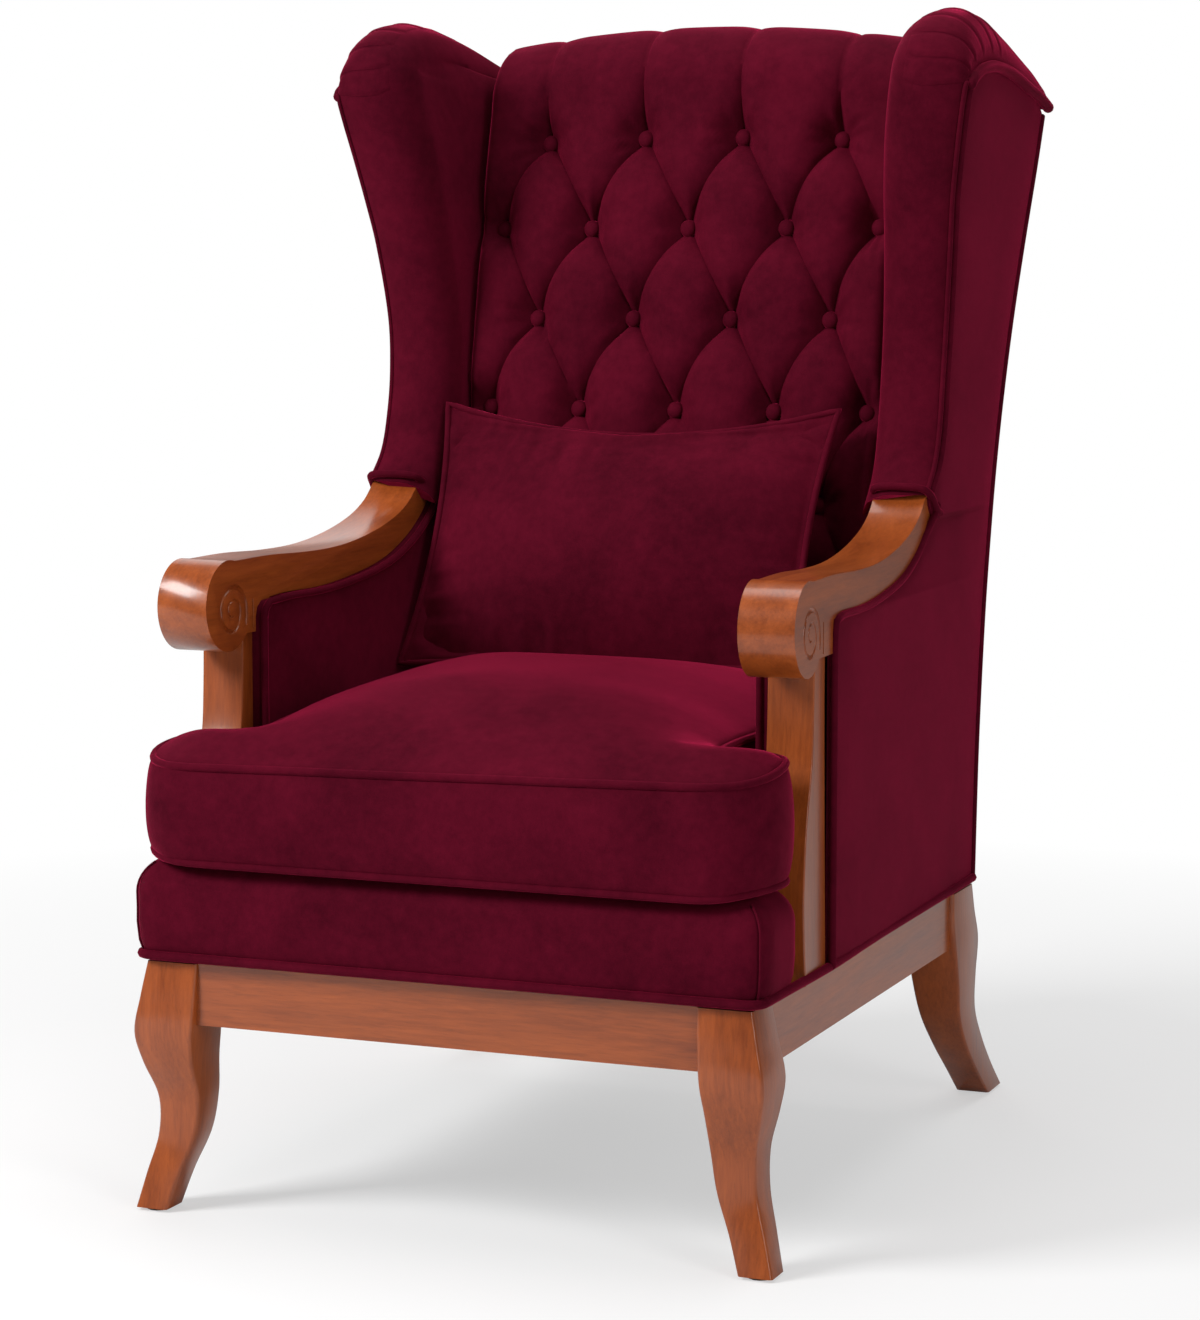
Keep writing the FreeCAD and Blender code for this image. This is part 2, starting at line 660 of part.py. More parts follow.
def wings(arm, back_post, crest, side_panel, back_panel):
    """Wing frames and the padding that rolls round them."""
    frame = wing_frame(arm, back_post)
    add_pair("wing_frame", frame)
    pad = stacked([wing_section(*level) for level in WING_LEVELS])
    pad = pad.cut([frame, arm, back_post, crest, side_panel, back_panel])
    pad = max(pad.Solids, key=lambda solid: solid.Volume)
    add_pair("wing_pad", pad)


def rounded_outline(corners, z):
    """Return level points through (x, y, radius) corners, each rounded in CORNER_STEPS chords."""
    count = len(corners)
    points = []
    for k in range(count):
        x, y, radius = corners[k]
        here = vec(x, y, z)
        before = (vec(corners[k - 1][0], corners[k - 1][1], z) - here).normalize()
        after = (vec(corners[(k + 1) % count][0], corners[(k + 1) % count][1], z) - here).normalize()
        centre = here + (before + after) * radius
        for n in range(CORNER_STEPS + 1):
            angle = math.pi / 2 * n / CORNER_STEPS
            points.append(centre - after * (radius * math.cos(angle)) - before * (radius * math.sin(angle)))
    return points


def cushion_outline(inset, z):
    """Return the T-shaped cushion's outline at a height, drawn in by an inset."""
    ear = CUSHION_EAR_HALF_WIDTH - inset
    stem = CUSHION_STEM_HALF_WIDTH - inset
    front = CUSHION_FRONT + inset
    ear_back = CUSHION_EAR_BACK - inset
    back = CUSHION_BACK - inset
    corners = (
        (-ear, front, 66 - inset), (ear, front, 66 - inset), (ear, ear_back, 40 - inset * 0.9),
        (stem, ear_back, 12 + inset), (stem, back, 42 - inset), (-stem, back, 42 - inset),
        (-stem, ear_back, 12 + inset), (-ear, ear_back, 40 - inset * 0.9),
    )
    return rounded_outline(corners, z)


def crown_surface(reach):
    """Return the cushion's crowned top as a surface, and its poles' rows."""
    stem = CUSHION_STEM_HALF_WIDTH + 5
    seam = DECK_TOP + CUSHION_SEAM
    edge_drop = 1 - (reach / stem) ** 2
    across = (edge_drop, 2 - edge_drop, edge_drop)
    rows = (
        (CUSHION_FRONT - 12, -CUSHION_NOSE_DROP - 4, -0.15),
        (90.0, -4.0, 0.55),
        (190.0, 2.0, 1.55),
        (400.0, 2.0, 1.35),
        (CUSHION_BACK + 12, 2.0, 0.05),
    )
    poles = []
    for y, rise, crown in rows:
        poles.append([
            vec(x, y, seam + rise + CUSHION_CROWN * crown * factor)
            for x, factor in zip((-reach, 0.0, reach), across)
        ])
    return bezier(poles), rows


def cushion_crown():
    """Return the space under the cushion's crowned top, wider than the cushion."""
    reach = CROWN_REACH
    surface, rows = crown_surface(reach)
    steps_y, steps_x = 9, 10
    faces = facets(surface, steps_y, steps_x)
    floor = DECK_TOP - 60
    rims = (
        [surface.value(0, j / steps_x) for j in range(steps_x + 1)],
        [surface.value(1, j / steps_x) for j in range(steps_x + 1)],
        [surface.value(i / steps_y, 0) for i in range(steps_y + 1)],
        [surface.value(i / steps_y, 1) for i in range(steps_y + 1)],
    )
    for rim in rims:
        faces.append(Part.Face(polygon(rim + [vec(rim[-1].x, rim[-1].y, floor), vec(rim[0].x, rim[0].y, floor)])))
    y0, y1 = rows[0][0], rows[-1][0]
    faces.append(Part.Face(polygon([vec(-reach, y0, floor), vec(reach, y0, floor), vec(reach, y1, floor),
                                    vec(-reach, y1, floor)])))
    return sewn_solid(faces)


def side_draw(z):
    """Return how far the cushion's side is drawn in at height z."""
    middle = DECK_TOP + CUSHION_SEAM * 0.45
    return CUSHION_SIDE_BULGE * ((z - middle) / (CUSHION_SEAM * 0.55)) ** 2


def seam_lines(bottom):
    """Return the lines of the cushion's top and bottom cords."""
    surface, _ = crown_surface(CROWN_REACH)
    first, last = surface.value(0, 0).y, surface.value(1, 0).y
    top = []
    low = []
    edge = cushion_outline(side_draw(DECK_TOP + CUSHION_SEAM * 0.9) - WELT_RADIUS * 0.3, 0.0)
    for point in edge:
        near, far = 0.0, 1.0
        for _ in range(30):
            half = (near + far) / 2
            if surface.value(half, 0).y < point.y:
                near = half
            else:
                far = half
        z = surface.value(near, (point.x + CROWN_REACH) / (2 * CROWN_REACH)).z
        top.append(vec(point.x, point.y, z - WELT_RADIUS * 0.3))
    drop = 12.0 / 76.0
    for point in cushion_outline(side_draw(bottom) - WELT_RADIUS * 0.3, 0.0):
        z = bottom - max(0.0, 16.0 - point.y) * drop
        low.append(vec(point.x, point.y, z + WELT_RADIUS))
    return top, low


def seat_cushion():
    """The loose T-shaped seat cushion: foam block, wrapped cover and the cords in its seams."""
    bottom = DECK_TOP + SOFT_GAP
    middle = DECK_TOP + CUSHION_SEAM * 0.45
    rings = []
    for z in (bottom - 12, bottom + 22, middle, middle + 34, bottom + CUSHION_SEAM, bottom + CUSHION_SEAM + 60):
        rings.append(cushion_outline(side_draw(z), z))
    form = stacked(rings).common(cushion_crown())
    below = prism([
        vec(-400, 700, bottom - 60), vec(-400, 700, bottom), vec(-400, 16, bottom),
        vec(-400, -60, bottom - 12), vec(-400, -60, bottom - 60),
    ], vec(800, 0, 0))
    form = form.cut(below)
    core = prism(cushion_outline(20.0, bottom + 9), vec(0, 0, CUSHION_SEAM - 36))
    cords = [cord(line, WELT_RADIUS, vec(0, 0, 1)) for line in seam_lines(bottom)]
    cover = form.cut(core).cut(cords)
    cover = max(cover.Solids, key=lambda solid: solid.Volume)
    add("seat_cushion_foam", core)
    add("seat_cushion_cover", cover)
    add("seat_cushion_welts", Part.makeCompound(cords))


def platform(inset, low):
    """Return the deck's form, drawn in by an inset, with a rolled front and rolled ear sides."""
    top = DECK_TOP - inset
    radius = DECK_ROLL - inset
    half = DECK_EAR_HALF_WIDTH - inset
    front = DECK_FRONT + inset
    back = DECK_EAR_BACK - inset
    rings = []
    for z, draw in [(low, 0.0)] + [
        (top - radius + radius * math.sin(math.radians(angle)), radius * (1 - math.cos(math.radians(angle))))
        for angle in (0, 22.5, 45, 67.5, 90)
    ]:
        x = half - draw
        y = front + draw
        bevel = DECK_CORNER - draw * 0.3
        rings.append([
            vec(-x, back, z), vec(-x, y + bevel, z), vec(-x + bevel * 0.3, y + bevel * 0.3, z),
            vec(-x + bevel, y, z), vec(x - bevel, y, z), vec(x - bevel * 0.3, y + bevel * 0.3, z),
            vec(x, y + bevel, z), vec(x, back, z),
        ])
    stem = box(-DECK_STEM_HALF_WIDTH + inset, DECK_STEM_HALF_WIDTH - inset, 60, 600 - inset, low, top)
    return stacked(rings).fuse(stem).removeSplitter()


def deck():
    """The sprung platform under the cushion: webbing, foam and cover."""
    low = RAIL_TOP + 2 * WEB_THICKNESS + SOFT_GAP
    outer = platform(0.0, low)
    foam = platform(DECK_COVER, low)
    add("deck_foam", foam)
    add("deck_cover", outer.cut(foam))

    straps = []
    reach = RAIL_HALF_WIDTH - 3
    for k in range(6):
        y = 208 + 68 * k if k else 62
        straps.append(box(-reach, reach, y, y + WEB_WIDTH, RAIL_TOP + WEB_THICKNESS, RAIL_TOP + 2 * WEB_THICKNESS))
    for k in range(5):
        x = -200 + 100 * k - WEB_WIDTH / 2
        straps.append(box(x, x + WEB_WIDTH, RAIL_SETBACK + 3, 696, RAIL_TOP, RAIL_TOP + WEB_THICKNESS))
    add("seat_webbing", Part.makeCompound(straps))


def arm_pads(arm):
    """Padding on the inner side of each arm."""
    low = RAIL_TOP + 2 * WEB_THICKNESS + SOFT_GAP
    back = 608.0
    outline = [vec(0, 156, low), vec(0, 156, 573), vec(0, 159, 581), vec(0, 166, 587)]
    outline += upright(ARM_BELLY, 2)[1:]
    outline += [vec(0, 575, WING_PAD_BOTTOM - 1), vec(0, back, WING_PAD_BOTTOM - 1), vec(0, back, low)]
    pad = prism(outline, vec(-POST_WIDTH / 2 - ARM_PAD_IN, 0, 0))
    pad.translate(vec(ARM_PAD_IN, 0, 0))
    pad = toe_out(pad).cut(arm)
    above = box(150, 400, 100, 700, WING_PAD_BOTTOM - 1, 800)
    add_pair("inner_arm_pad", pad.cut(above))


def crest_roll(tufted):
    """Return the padded roll over the crest rail, highest in the middle."""
    rings = []
    for x in (-BACK_HALF_WIDTH, -BACK_HALF_WIDTH / 2, 0.0, BACK_HALF_WIDTH / 2, BACK_HALF_WIDTH):
        sag = (BACK_TOP_MIDDLE - BACK_TOP_SIDE) * (x / BACK_HALF_WIDTH) ** 2
        top = BACK_TOP_MIDDLE + SOFT_GAP - sag
        front = tuft_face(BACK_TOP_MIDDLE) + 3
        back = back_plane(BACK_TOP_MIDDLE) + SOFT_GAP
        rear = between(BACK_EDGE_Y, CREST_TOP)
        low = back_plane(CREST_TOP) + SOFT_GAP
        seat_z = CREST_TOP + SOFT_GAP
        rings.append([
            vec(x, front, top), vec(x, front + 4, top + 9), vec(x, front + 18, top + 16),
            vec(x, front + 48, top + 20), vec(x, front + 85, top + 19), vec(x, front + 120, top + 13),
            vec(x, rear - 28, seat_z + 24), vec(x, rear - 8, seat_z + 12), vec(x, rear, seat_z),
            vec(x, low, seat_z), vec(x, back, top - 8),
        ])
    add("crest_roll", stacked(rings).cut(tufted))


def tuft_face(z):
    """Return the depth of the button line at height z."""
    return BUTTON_FIRST_Y + BACK_RAKE * (z - BUTTON_FIRST_Z)


def top_edge(x):
    """Return the height of the tufted pad's top edge."""
    return BACK_TOP_MIDDLE - (BACK_TOP_MIDDLE - BACK_TOP_SIDE) * (x / BACK_HALF_WIDTH) ** 2


def button_rows():
    """Return the rows of button places, top to bottom, as lists of (x, z)."""
    rows = []
    for k in range(BUTTON_ROWS):
        z = BUTTON_FIRST_Z - BUTTON_ROW_STEP * k
        if k % 2 == 0:
            xs = [BUTTON_PITCH * (n - 1.5) for n in range(4)]
        else:
            xs = [-BUTTON_OUTER_X, -BUTTON_PITCH, 0.0, BUTTON_PITCH, BUTTON_OUTER_X]
        rows.append([(x, z) for x in xs])
    return rows


def tufted_back():
    """The tufted inner back: a quilt of crowned diamonds between the buttons."""
    out = vec(0, -1, BACK_RAKE).normalize()

    def at(x, z, rise):
        return vec(x, tuft_face(z), z) + out * rise

    edge_rise = 12.0
    rows = button_rows()
    button = {}
    for k, row in enumerate(rows):
        for x, z in row:
            button[(round(x), k)] = at(x, z, 0.0)
    half = BACK_HALF_WIDTH
    wide = [round(x) for x, _ in rows[1]]
    narrow = [round(x) for x, _ in rows[0]]
    last = BUTTON_ROWS - 1
    top = {x: at(x, top_edge(x), edge_rise) for x in narrow + wide[1:-1] + [-half, half]}
    low = {x: at(x, BACK_PAD_BOTTOM, edge_rise) for x in narrow + wide + [-half, half]}
    side = {}
    for k in range(BUTTON_ROWS):
        for sign in (-1, 1):
            side[(sign, k)] = at(sign * half, rows[k][0][1], edge_rise)

    quads = []
    for k in range(0, last - 1):
        tops = narrow if k % 2 == 0 else wide[1:-1]
        sides = wide if k % 2 == 0 else narrow
        for n, x in enumerate(tops):
            quads.append(((("b", x, k)), ("b", sides[n], k + 1), ("b", x, k + 2), ("b", sides[n + 1], k + 1)))
    for n, x in enumerate(wide[1:-1]):
        quads.append((("b", x, 1), ("b", narrow[n], 0), ("t", narrow[n], 0), ("t", x, 0)))
        quads.append((("b", x, 1), ("t", x, 0), ("t", narrow[n + 1], 0), ("b", narrow[n + 1], 0)))
    for n, x in enumerate(narrow):
        quads.append((("b", x, last - 1), ("b", wide[n], last), ("l", wide[n], 0), ("l", x, 0)))
        quads.append((("b", x, last - 1), ("l", x, 0), ("l", wide[n + 1], 0), ("b", wide[n + 1], last)))
    for sign in (-1, 1):
        corner = sign * half
        first = sign * max(narrow)
        outer = sign * max(wide)
        quads.append((("b", first, 0), ("s", sign, 0), ("t", corner, 0), ("t", first, 0)))
        quads.append((("b", outer, last), ("s", sign, last), ("l", corner, 0), ("l", outer, 0)))
        for k in range(last):
            here = first if k % 2 == 0 else outer
            below = outer if k % 2 == 0 else first
            quads.append((("b", here, k), ("b", below, k + 1), ("s", sign, k + 1), ("s", sign, k)))

    def place(key):
        kind, a, b = key
        if kind == "b":
            return button[(a, b)]
        if kind == "t":
            return top[a]
        if kind == "l":
            return low[a]
        return side[(a, b)]

    def rises(key_a, key_b):
        """Return how far an edge's two inner poles stand out, so that neighbours share them."""
        buttons = (key_a[0] == "b") + (key_b[0] == "b")
        if buttons == 2:
            return (TUFT_FOLD, TUFT_FOLD)
        if buttons == 0:
            return (0.0, 0.0)
        deep = TUFT_CROWN * 0.9
        if key_a[0] == "b":
            return (deep, deep * 0.45)
        return (deep * 0.45, deep)

    faces = []
    for quad in quads:
        corners = [place(key) for key in quad]
        grid = [[None] * 4 for _ in range(4)]
        ends = ((0, 0, 0, 3), (0, 3, 3, 3), (3, 3, 3, 0), (3, 0, 0, 0))
        for n in range(4):
            key_a, key_b = quad[n], quad[(n + 1) % 4]
            a, b = corners[n], corners[(n + 1) % 4]
            rise_a, rise_b = rises(key_a, key_b)
            i0, j0, i1, j1 = ends[n]
            di, dj = (i1 - i0) // 3, (j1 - j0) // 3
            grid[i0][j0] = a
            grid[i0 + di][j0 + dj] = a + (b - a) * (1 / 3) + out * rise_a
            grid[i0 + 2 * di][j0 + 2 * dj] = a + (b - a) * (2 / 3) + out * rise_b
        for i in (1, 2):
            for j in (1, 2):
                u, v = i / 3, j / 3
                flat = (corners[0] * (1 - u) * (1 - v) + corners[1] * (1 - u) * v
                        + corners[2] * u * v + corners[3] * u * (1 - v))
                grid[i][j] = flat + out * TUFT_CROWN * 1.45
        faces += facets(bezier(grid), TUFT_STEPS, TUFT_STEPS)

    def back_point(p):
        return vec(p.x, back_plane(p.z), p.z)

    border = (
        [top[x] for x in sorted(top)]
        + [side[(1, k)] for k in range(BUTTON_ROWS)]
        + [low[x] for x in sorted(low, reverse=True)]
        + [side[(-1, k)] for k in reversed(range(BUTTON_ROWS))]
    )
    for n, a in enumerate(border):
        b = border[(n + 1) % len(border)]
        faces.append(Part.Face(polygon([a, b, back_point(b), back_point(a)])))
    faces.append(Part.Face(polygon([back_point(p) for p in border])))
    solid = sewn_solid(faces)

    buttons = []
    holes = []
    for point in button.values():
        foot = point + out * 1.0
        rings = []
        for rise, radius in ((0, BUTTON_RADIUS), (0.45, BUTTON_RADIUS), (1.0, BUTTON_RADIUS * 0.55)):
            rings.append(ring(foot + out * (BUTTON_HEIGHT * rise), out, radius, BUTTON_SIDES))
        buttons.append(stacked(rings))
        holes.append(pin(foot, out * 60, BUTTON_RADIUS + BUTTON_CLEARANCE, BUTTON_SIDES))
    solid = solid.cut(holes)
    add("tufted_back", solid)
    add("tuft_buttons", Part.makeCompound(buttons))
    return solid


def pillow():
    """The loose pillow: two crowned faces that meet in one edge, with its filling."""
    def form(shrink, swell):
        half_w = PILLOW_HALF_WIDTH - shrink
        half_h = PILLOW_HALF_HEIGHT - shrink
        waist = PILLOW_WAIST * 4 / 3
        end_waist = PILLOW_END_WAIST * 4 / 3
        faces = []
        for turn in (-1, 1):
            poles = [[None] * 4 for _ in range(4)]
            for i in range(4):
                for j in range(4):
                    x = -half_w + 2 * half_w * i / 3
                    z = -half_h + 2 * half_h * j / 3
                    y = 0.0
                    if i in (0, 3) and j in (1, 2):
                        x -= math.copysign(end_waist, x)
                    if j in (0, 3) and i in (1, 2):
                        z -= math.copysign(waist, z)
                    if i in (1, 2) and j in (1, 2):
                        x *= 2.35
                        z *= 1.95
                        y = turn * swell / 2 / 0.5625
                    poles[i][j] = vec(x, y, z)
            surface = bezier(poles)
            faces += facets(surface, 12, 9)
        rim = [surface.value(i / 12, 0) for i in range(12)] + [surface.value(1, j / 9) for j in range(9)]
        rim += [surface.value(i / 12, 1) for i in range(12, 0, -1)] + [surface.value(0, j / 9) for j in range(9, 0, -1)]
        return sewn_solid(faces), rim

    def placed(solid):
        solid.rotate(vec(0, 0, 0), vec(1, 0, 0), -PILLOW_LEAN)
        solid.translate(vec(PILLOW_X, PILLOW_Y, PILLOW_Z))
        return solid

    outer, rim = form(WELT_RADIUS, PILLOW_THICKNESS)
    filling, _ = form(26.0, PILLOW_THICKNESS - 14)
    welt = cord(rim, WELT_RADIUS, vec(0, 1, 0))
    cover = outer.cut(filling).cut(welt)
    cover = max(cover.Solids, key=lambda solid: solid.Volume)
    add("pillow_filling", placed(filling))
    add("pillow_cover", placed(cover))
    add("pillow_welt", placed(welt))


def under_seat():
    """Dust cover tacked under the rails, and hessian over the webbing."""
    rail_bottom = RAIL_TOP - RAIL_DEPTH
    reach = RAIL_HALF_WIDTH - 6
    cloth = box(-reach, reach, RAIL_SETBACK + 6, 690, rail_bottom - 1, rail_bottom)
    for sections in (FRONT_LEG_SECTIONS, REAR_LEG_SECTIONS):
        leg = shaped_leg(sections)
        cloth = cloth.cut(leg).cut(mirrored(leg))
    solids = sorted(cloth.Solids, key=lambda s: s.Volume)
    add("dust_cover", solids[-1])


def main():
    """Build every piece and write one file per node."""
    frame_bases()
    arm = arms()
    side_panel = side_panels(arm)
    back_panel = outer_back(side_panel)
    back_post, crest = back_frame()
    wings(arm, back_post, crest, side_panel, back_panel)
    deck()
    arm_pads(arm)
    seat_cushion()
    tufted = tufted_back()
    crest_roll(tufted)
    pillow()
    under_seat()
    os.makedirs("parts", exist_ok=True)
    for node, shape in PARTS.items():
        state = "valid" if shape.isValid() else "NOT VALID"
        print(node, len(shape.Solids), "solids", round(shape.Volume / 1000), "cm3", state)
        shape.exportStep("parts/" + node + ".step")


main()
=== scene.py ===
"""Wingback armchair: show wood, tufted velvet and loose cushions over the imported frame."""

import logging
import math
from dataclasses import dataclass, field
from enum import Enum
from typing import Callable, Sequence

import bmesh
import bpy
import numpy as np
from mathutils import Euler, Matrix, Vector


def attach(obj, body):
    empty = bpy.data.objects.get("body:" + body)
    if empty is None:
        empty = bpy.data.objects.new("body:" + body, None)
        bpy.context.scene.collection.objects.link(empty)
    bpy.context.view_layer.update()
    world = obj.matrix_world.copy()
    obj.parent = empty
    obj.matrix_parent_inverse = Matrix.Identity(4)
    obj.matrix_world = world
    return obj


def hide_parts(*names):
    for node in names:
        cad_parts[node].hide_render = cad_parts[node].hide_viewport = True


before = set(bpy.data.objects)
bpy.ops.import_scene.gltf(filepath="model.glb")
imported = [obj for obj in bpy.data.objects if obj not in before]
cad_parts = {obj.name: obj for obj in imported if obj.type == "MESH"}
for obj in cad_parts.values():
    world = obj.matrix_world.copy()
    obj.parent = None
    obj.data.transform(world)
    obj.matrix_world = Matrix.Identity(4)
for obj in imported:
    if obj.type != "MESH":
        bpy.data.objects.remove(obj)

log = logging.getLogger("armchair")

# The measured tables below are in millimetres, with y counted from the front of the leg tops.
FRONT_TO_CENTRE = 424.0
# The radius of the T-shaped plan's front corners, which the cushion and the deck share.
NOSE_RADIUS = 62.0

Flat = tuple[float, float]
Point = tuple[float, float, float]
Rows = Sequence[Sequence[float]]
Piece = bpy.types.Object
Tree = bpy.types.NodeTree


def spot(x: float, y: float, z: float) -> Vector:
    """Return a measured place, in millimetres, as metres in the frame."""
    return Vector((x / 1000, (y - FRONT_TO_CENTRE) / 1000, z / 1000))


def smooth_at(rows: Rows, t: float) -> list[float]:
    """Read a table on a smooth line through its rows.

    Args:
        rows: Rows of (t, value, value, ...), with t rising.
        t: Where to read, held at the table's ends.

    Returns:
        The values at t.
    """
    if t <= rows[0][0]:
        return list(rows[0][1:])
    if t >= rows[-1][0]:
        return list(rows[-1][1:])
    k = next(n for n in range(len(rows) - 1) if t <= rows[n + 1][0])
    span = rows[k + 1][0] - rows[k][0]
    u = (t - rows[k][0]) / span
    values = []
    for column in range(1, len(rows[0])):
        p, q = rows[k][column], rows[k + 1][column]
        slopes = []
        for here in (k, k + 1):
            low, high = rows[max(here - 1, 0)], rows[min(here + 1, len(rows) - 1)]
            slopes.append((high[column] - low[column]) / (high[0] - low[0]) * span)
        a = 2 * p - 2 * q + slopes[0] + slopes[1]
        b = 3 * q - 3 * p - 2 * slopes[0] - slopes[1]
        values.append(((a * u + b) * u + slopes[0]) * u + p)
    return values


def level_at(rows: Rows, t: float) -> float:
    """Return the single value of a table of (t, value) rows at t, on straight runs."""
    return float(np.interp(t, [row[0] for row in rows], [row[1] for row in rows]))


def smooth_path(points: Sequence[Sequence[float]], steps: int) -> list[tuple[float, ...]]:
    """Return points on a smooth line through the given ones, with steps from each to the next."""
    rows = []
    run = 0.0
    for n, point in enumerate(points):
        if n:
            run += math.dist(point, points[n - 1])
        rows.append((run, *point))
    stations = []
    for a, b in zip(rows, rows[1:]):
        stations += [a[0] + (b[0] - a[0]) * k / steps for k in range(steps)]
    return [tuple(smooth_at(rows, t)) for t in stations + [rows[-1][0]]]


class Side(Enum):
    """A side of the chair, as the sign of X."""

    LEFT = -1
    RIGHT = 1

    @property
    def word(self) -> str:
        """The side's name in node names."""
        return self.name.lower()


class Grain(Enum):
    """Which way the wood's grain runs, as the stretch of its figure along X, Y and Z."""

    ACROSS = (1.0, 13.0, 13.0)
    FORE_AND_AFT = (13.0, 1.0, 13.0)
    UPRIGHT = (13.0, 13.0, 1.0)


class Sockets:
    """Names or numbers of the shader sockets that the finishes use."""

    COLOUR = "Base Color"
    ROUGH = "Roughness"
    NORMAL = "Normal"
    SPECULAR = "Specular IOR Level"
    # A mix node has several sockets of one name, so its colours go by number.
    MIX_FIRST, MIX_SECOND, MIX_RESULT = 6, 7, 2


def feed(tree: Tree, node: bpy.types.Node, inputs: dict) -> None:
    """Set a node's inputs, given by name or number, to values or to other nodes' outputs."""
    for key, value in inputs.items():
        if isinstance(value, bpy.types.NodeSocket):
            tree.links.new(value, node.inputs[key])
        else:
            node.inputs[key].default_value = value


def add_node(tree: Tree, kind: str, inputs: dict, **settings) -> bpy.types.Node:
    """Add a shader node.

    Args:
        tree: The tree that it goes into.
        kind: Its type, without the leading "ShaderNode".
        inputs: Its inputs, as feed takes them.
        settings: Its own properties.

    Returns:
        The node.
    """
    node = tree.nodes.new("ShaderNode" + kind)
    for name, value in settings.items():
        setattr(node, name, value)
    feed(tree, node, inputs)
    return node


def object_place(tree: Tree):
    """Return an output that gives each point's place on its object."""
    return add_node(tree, "TexCoord", {}).outputs["Object"]


def noise(tree: Tree, place, scale: float, detail: float, rough: float, bend: float = 0.0):
    """Add a noise texture and return its value."""
    inputs = {"Vector": place, "Scale": scale, "Detail": detail, "Roughness": rough, "Distortion": bend}
    return add_node(tree, "TexNoise", inputs).outputs["Fac"]


def ramp(tree: Tree, factor, low: tuple[float, Point], high: tuple[float, Point]):
    """Add a colour ramp between two stops (place, colour) and return its colour."""
    node = add_node(tree, "ValToRGB", {"Fac": factor})
    for element, (place, colour) in zip(node.color_ramp.elements, (low, high)):
        element.position = place
        element.color = (*colour, 1.0)
    return node.outputs["Color"]


def math_node(tree: Tree, operation: str, *values):
    """Add a math node on outputs or numbers and return its value."""
    return add_node(tree, "Math", dict(enumerate(values)), operation=operation).outputs[0]


def stretch(tree: Tree, value, low: float, high: float):
    """Stretch a value so that low becomes 0 and high becomes 1."""
    return add_node(tree, "MapRange", {"Value": value, "From Min": low, "From Max": high}).outputs["Result"]


def mix_colours(tree: Tree, factor, first, second, blend: str = "MIX"):
    """Mix two colours and return the result."""
    inputs = {"Factor": factor, Sockets.MIX_FIRST: first, Sockets.MIX_SECOND: second}
    return add_node(tree, "Mix", inputs, data_type="RGBA", blend_type=blend).outputs[Sockets.MIX_RESULT]


def bump(tree: Tree, height, distance: float, strength: float):
    """Add a Bump node on a height and return its normal."""
    inputs = {"Height": height, "Distance": distance, "Strength": strength}
    return add_node(tree, "Bump", inputs).outputs["Normal"]


def new_group(name: str, inputs: Sequence[tuple[str, str, object]], outputs: Sequence[tuple[str, str]]):
    """Start a shader node group.

    Args:
        name: The group's name.
        inputs: Name, socket type and default value of each input.
        outputs: Name and socket type of each output.

    Returns:
        The group and its input and output nodes.
    """
    group = bpy.data.node_groups.new(name, "ShaderNodeTree")
    for label, kind, value in inputs:
        socket = group.interface.new_socket(name=label, in_out="INPUT", socket_type=kind)
        socket.default_value = value
    for label, kind in outputs:
        group.interface.new_socket(name=label, in_out="OUTPUT", socket_type=kind)
    return group, group.nodes.new("NodeGroupInput"), group.nodes.new("NodeGroupOutput")


def velvet_group() -> Tree:
    """Return the group that draws velvet's pile: brushed patches, fine nap and a soft lie of the cloth."""
    name = "velvet pile"
    if name in bpy.data.node_groups:
        return bpy.data.node_groups[name]
    group, source, sink = new_group(
        name,
        [
            ("Deep", "NodeSocketColor", (0.05, 0.002, 0.01, 1)),
            ("Lit", "NodeSocketColor", (0.2, 0.01, 0.04, 1)),
        ],
        [("Color", "NodeSocketColor"), ("Nap", "NodeSocketFloat"), ("Rough", "NodeSocketFloat")],
    )
    place = object_place(group)
    brushed = noise(group, place, 7.0, 5.0, 0.62, 0.5)
    mottle = noise(group, place, 90.0, 4.0, 0.7)
    nap = noise(group, place, 1400.0, 2.0, 0.6)
    patches = math_node(group, "MULTIPLY_ADD", mottle, 0.35, math_node(group, "MULTIPLY", brushed, 0.65))
    lie = stretch(group, math_node(group, "MULTIPLY_ADD", nap, 0.25, patches), 0.38, 0.86)
    feed(group, sink, {
        "Color": mix_colours(group, lie, source.outputs["Deep"], source.outputs["Lit"]),
        "Nap": nap,
        "Rough": math_node(group, "MULTIPLY_ADD", mottle, -0.12, 0.9),
    })
    return group


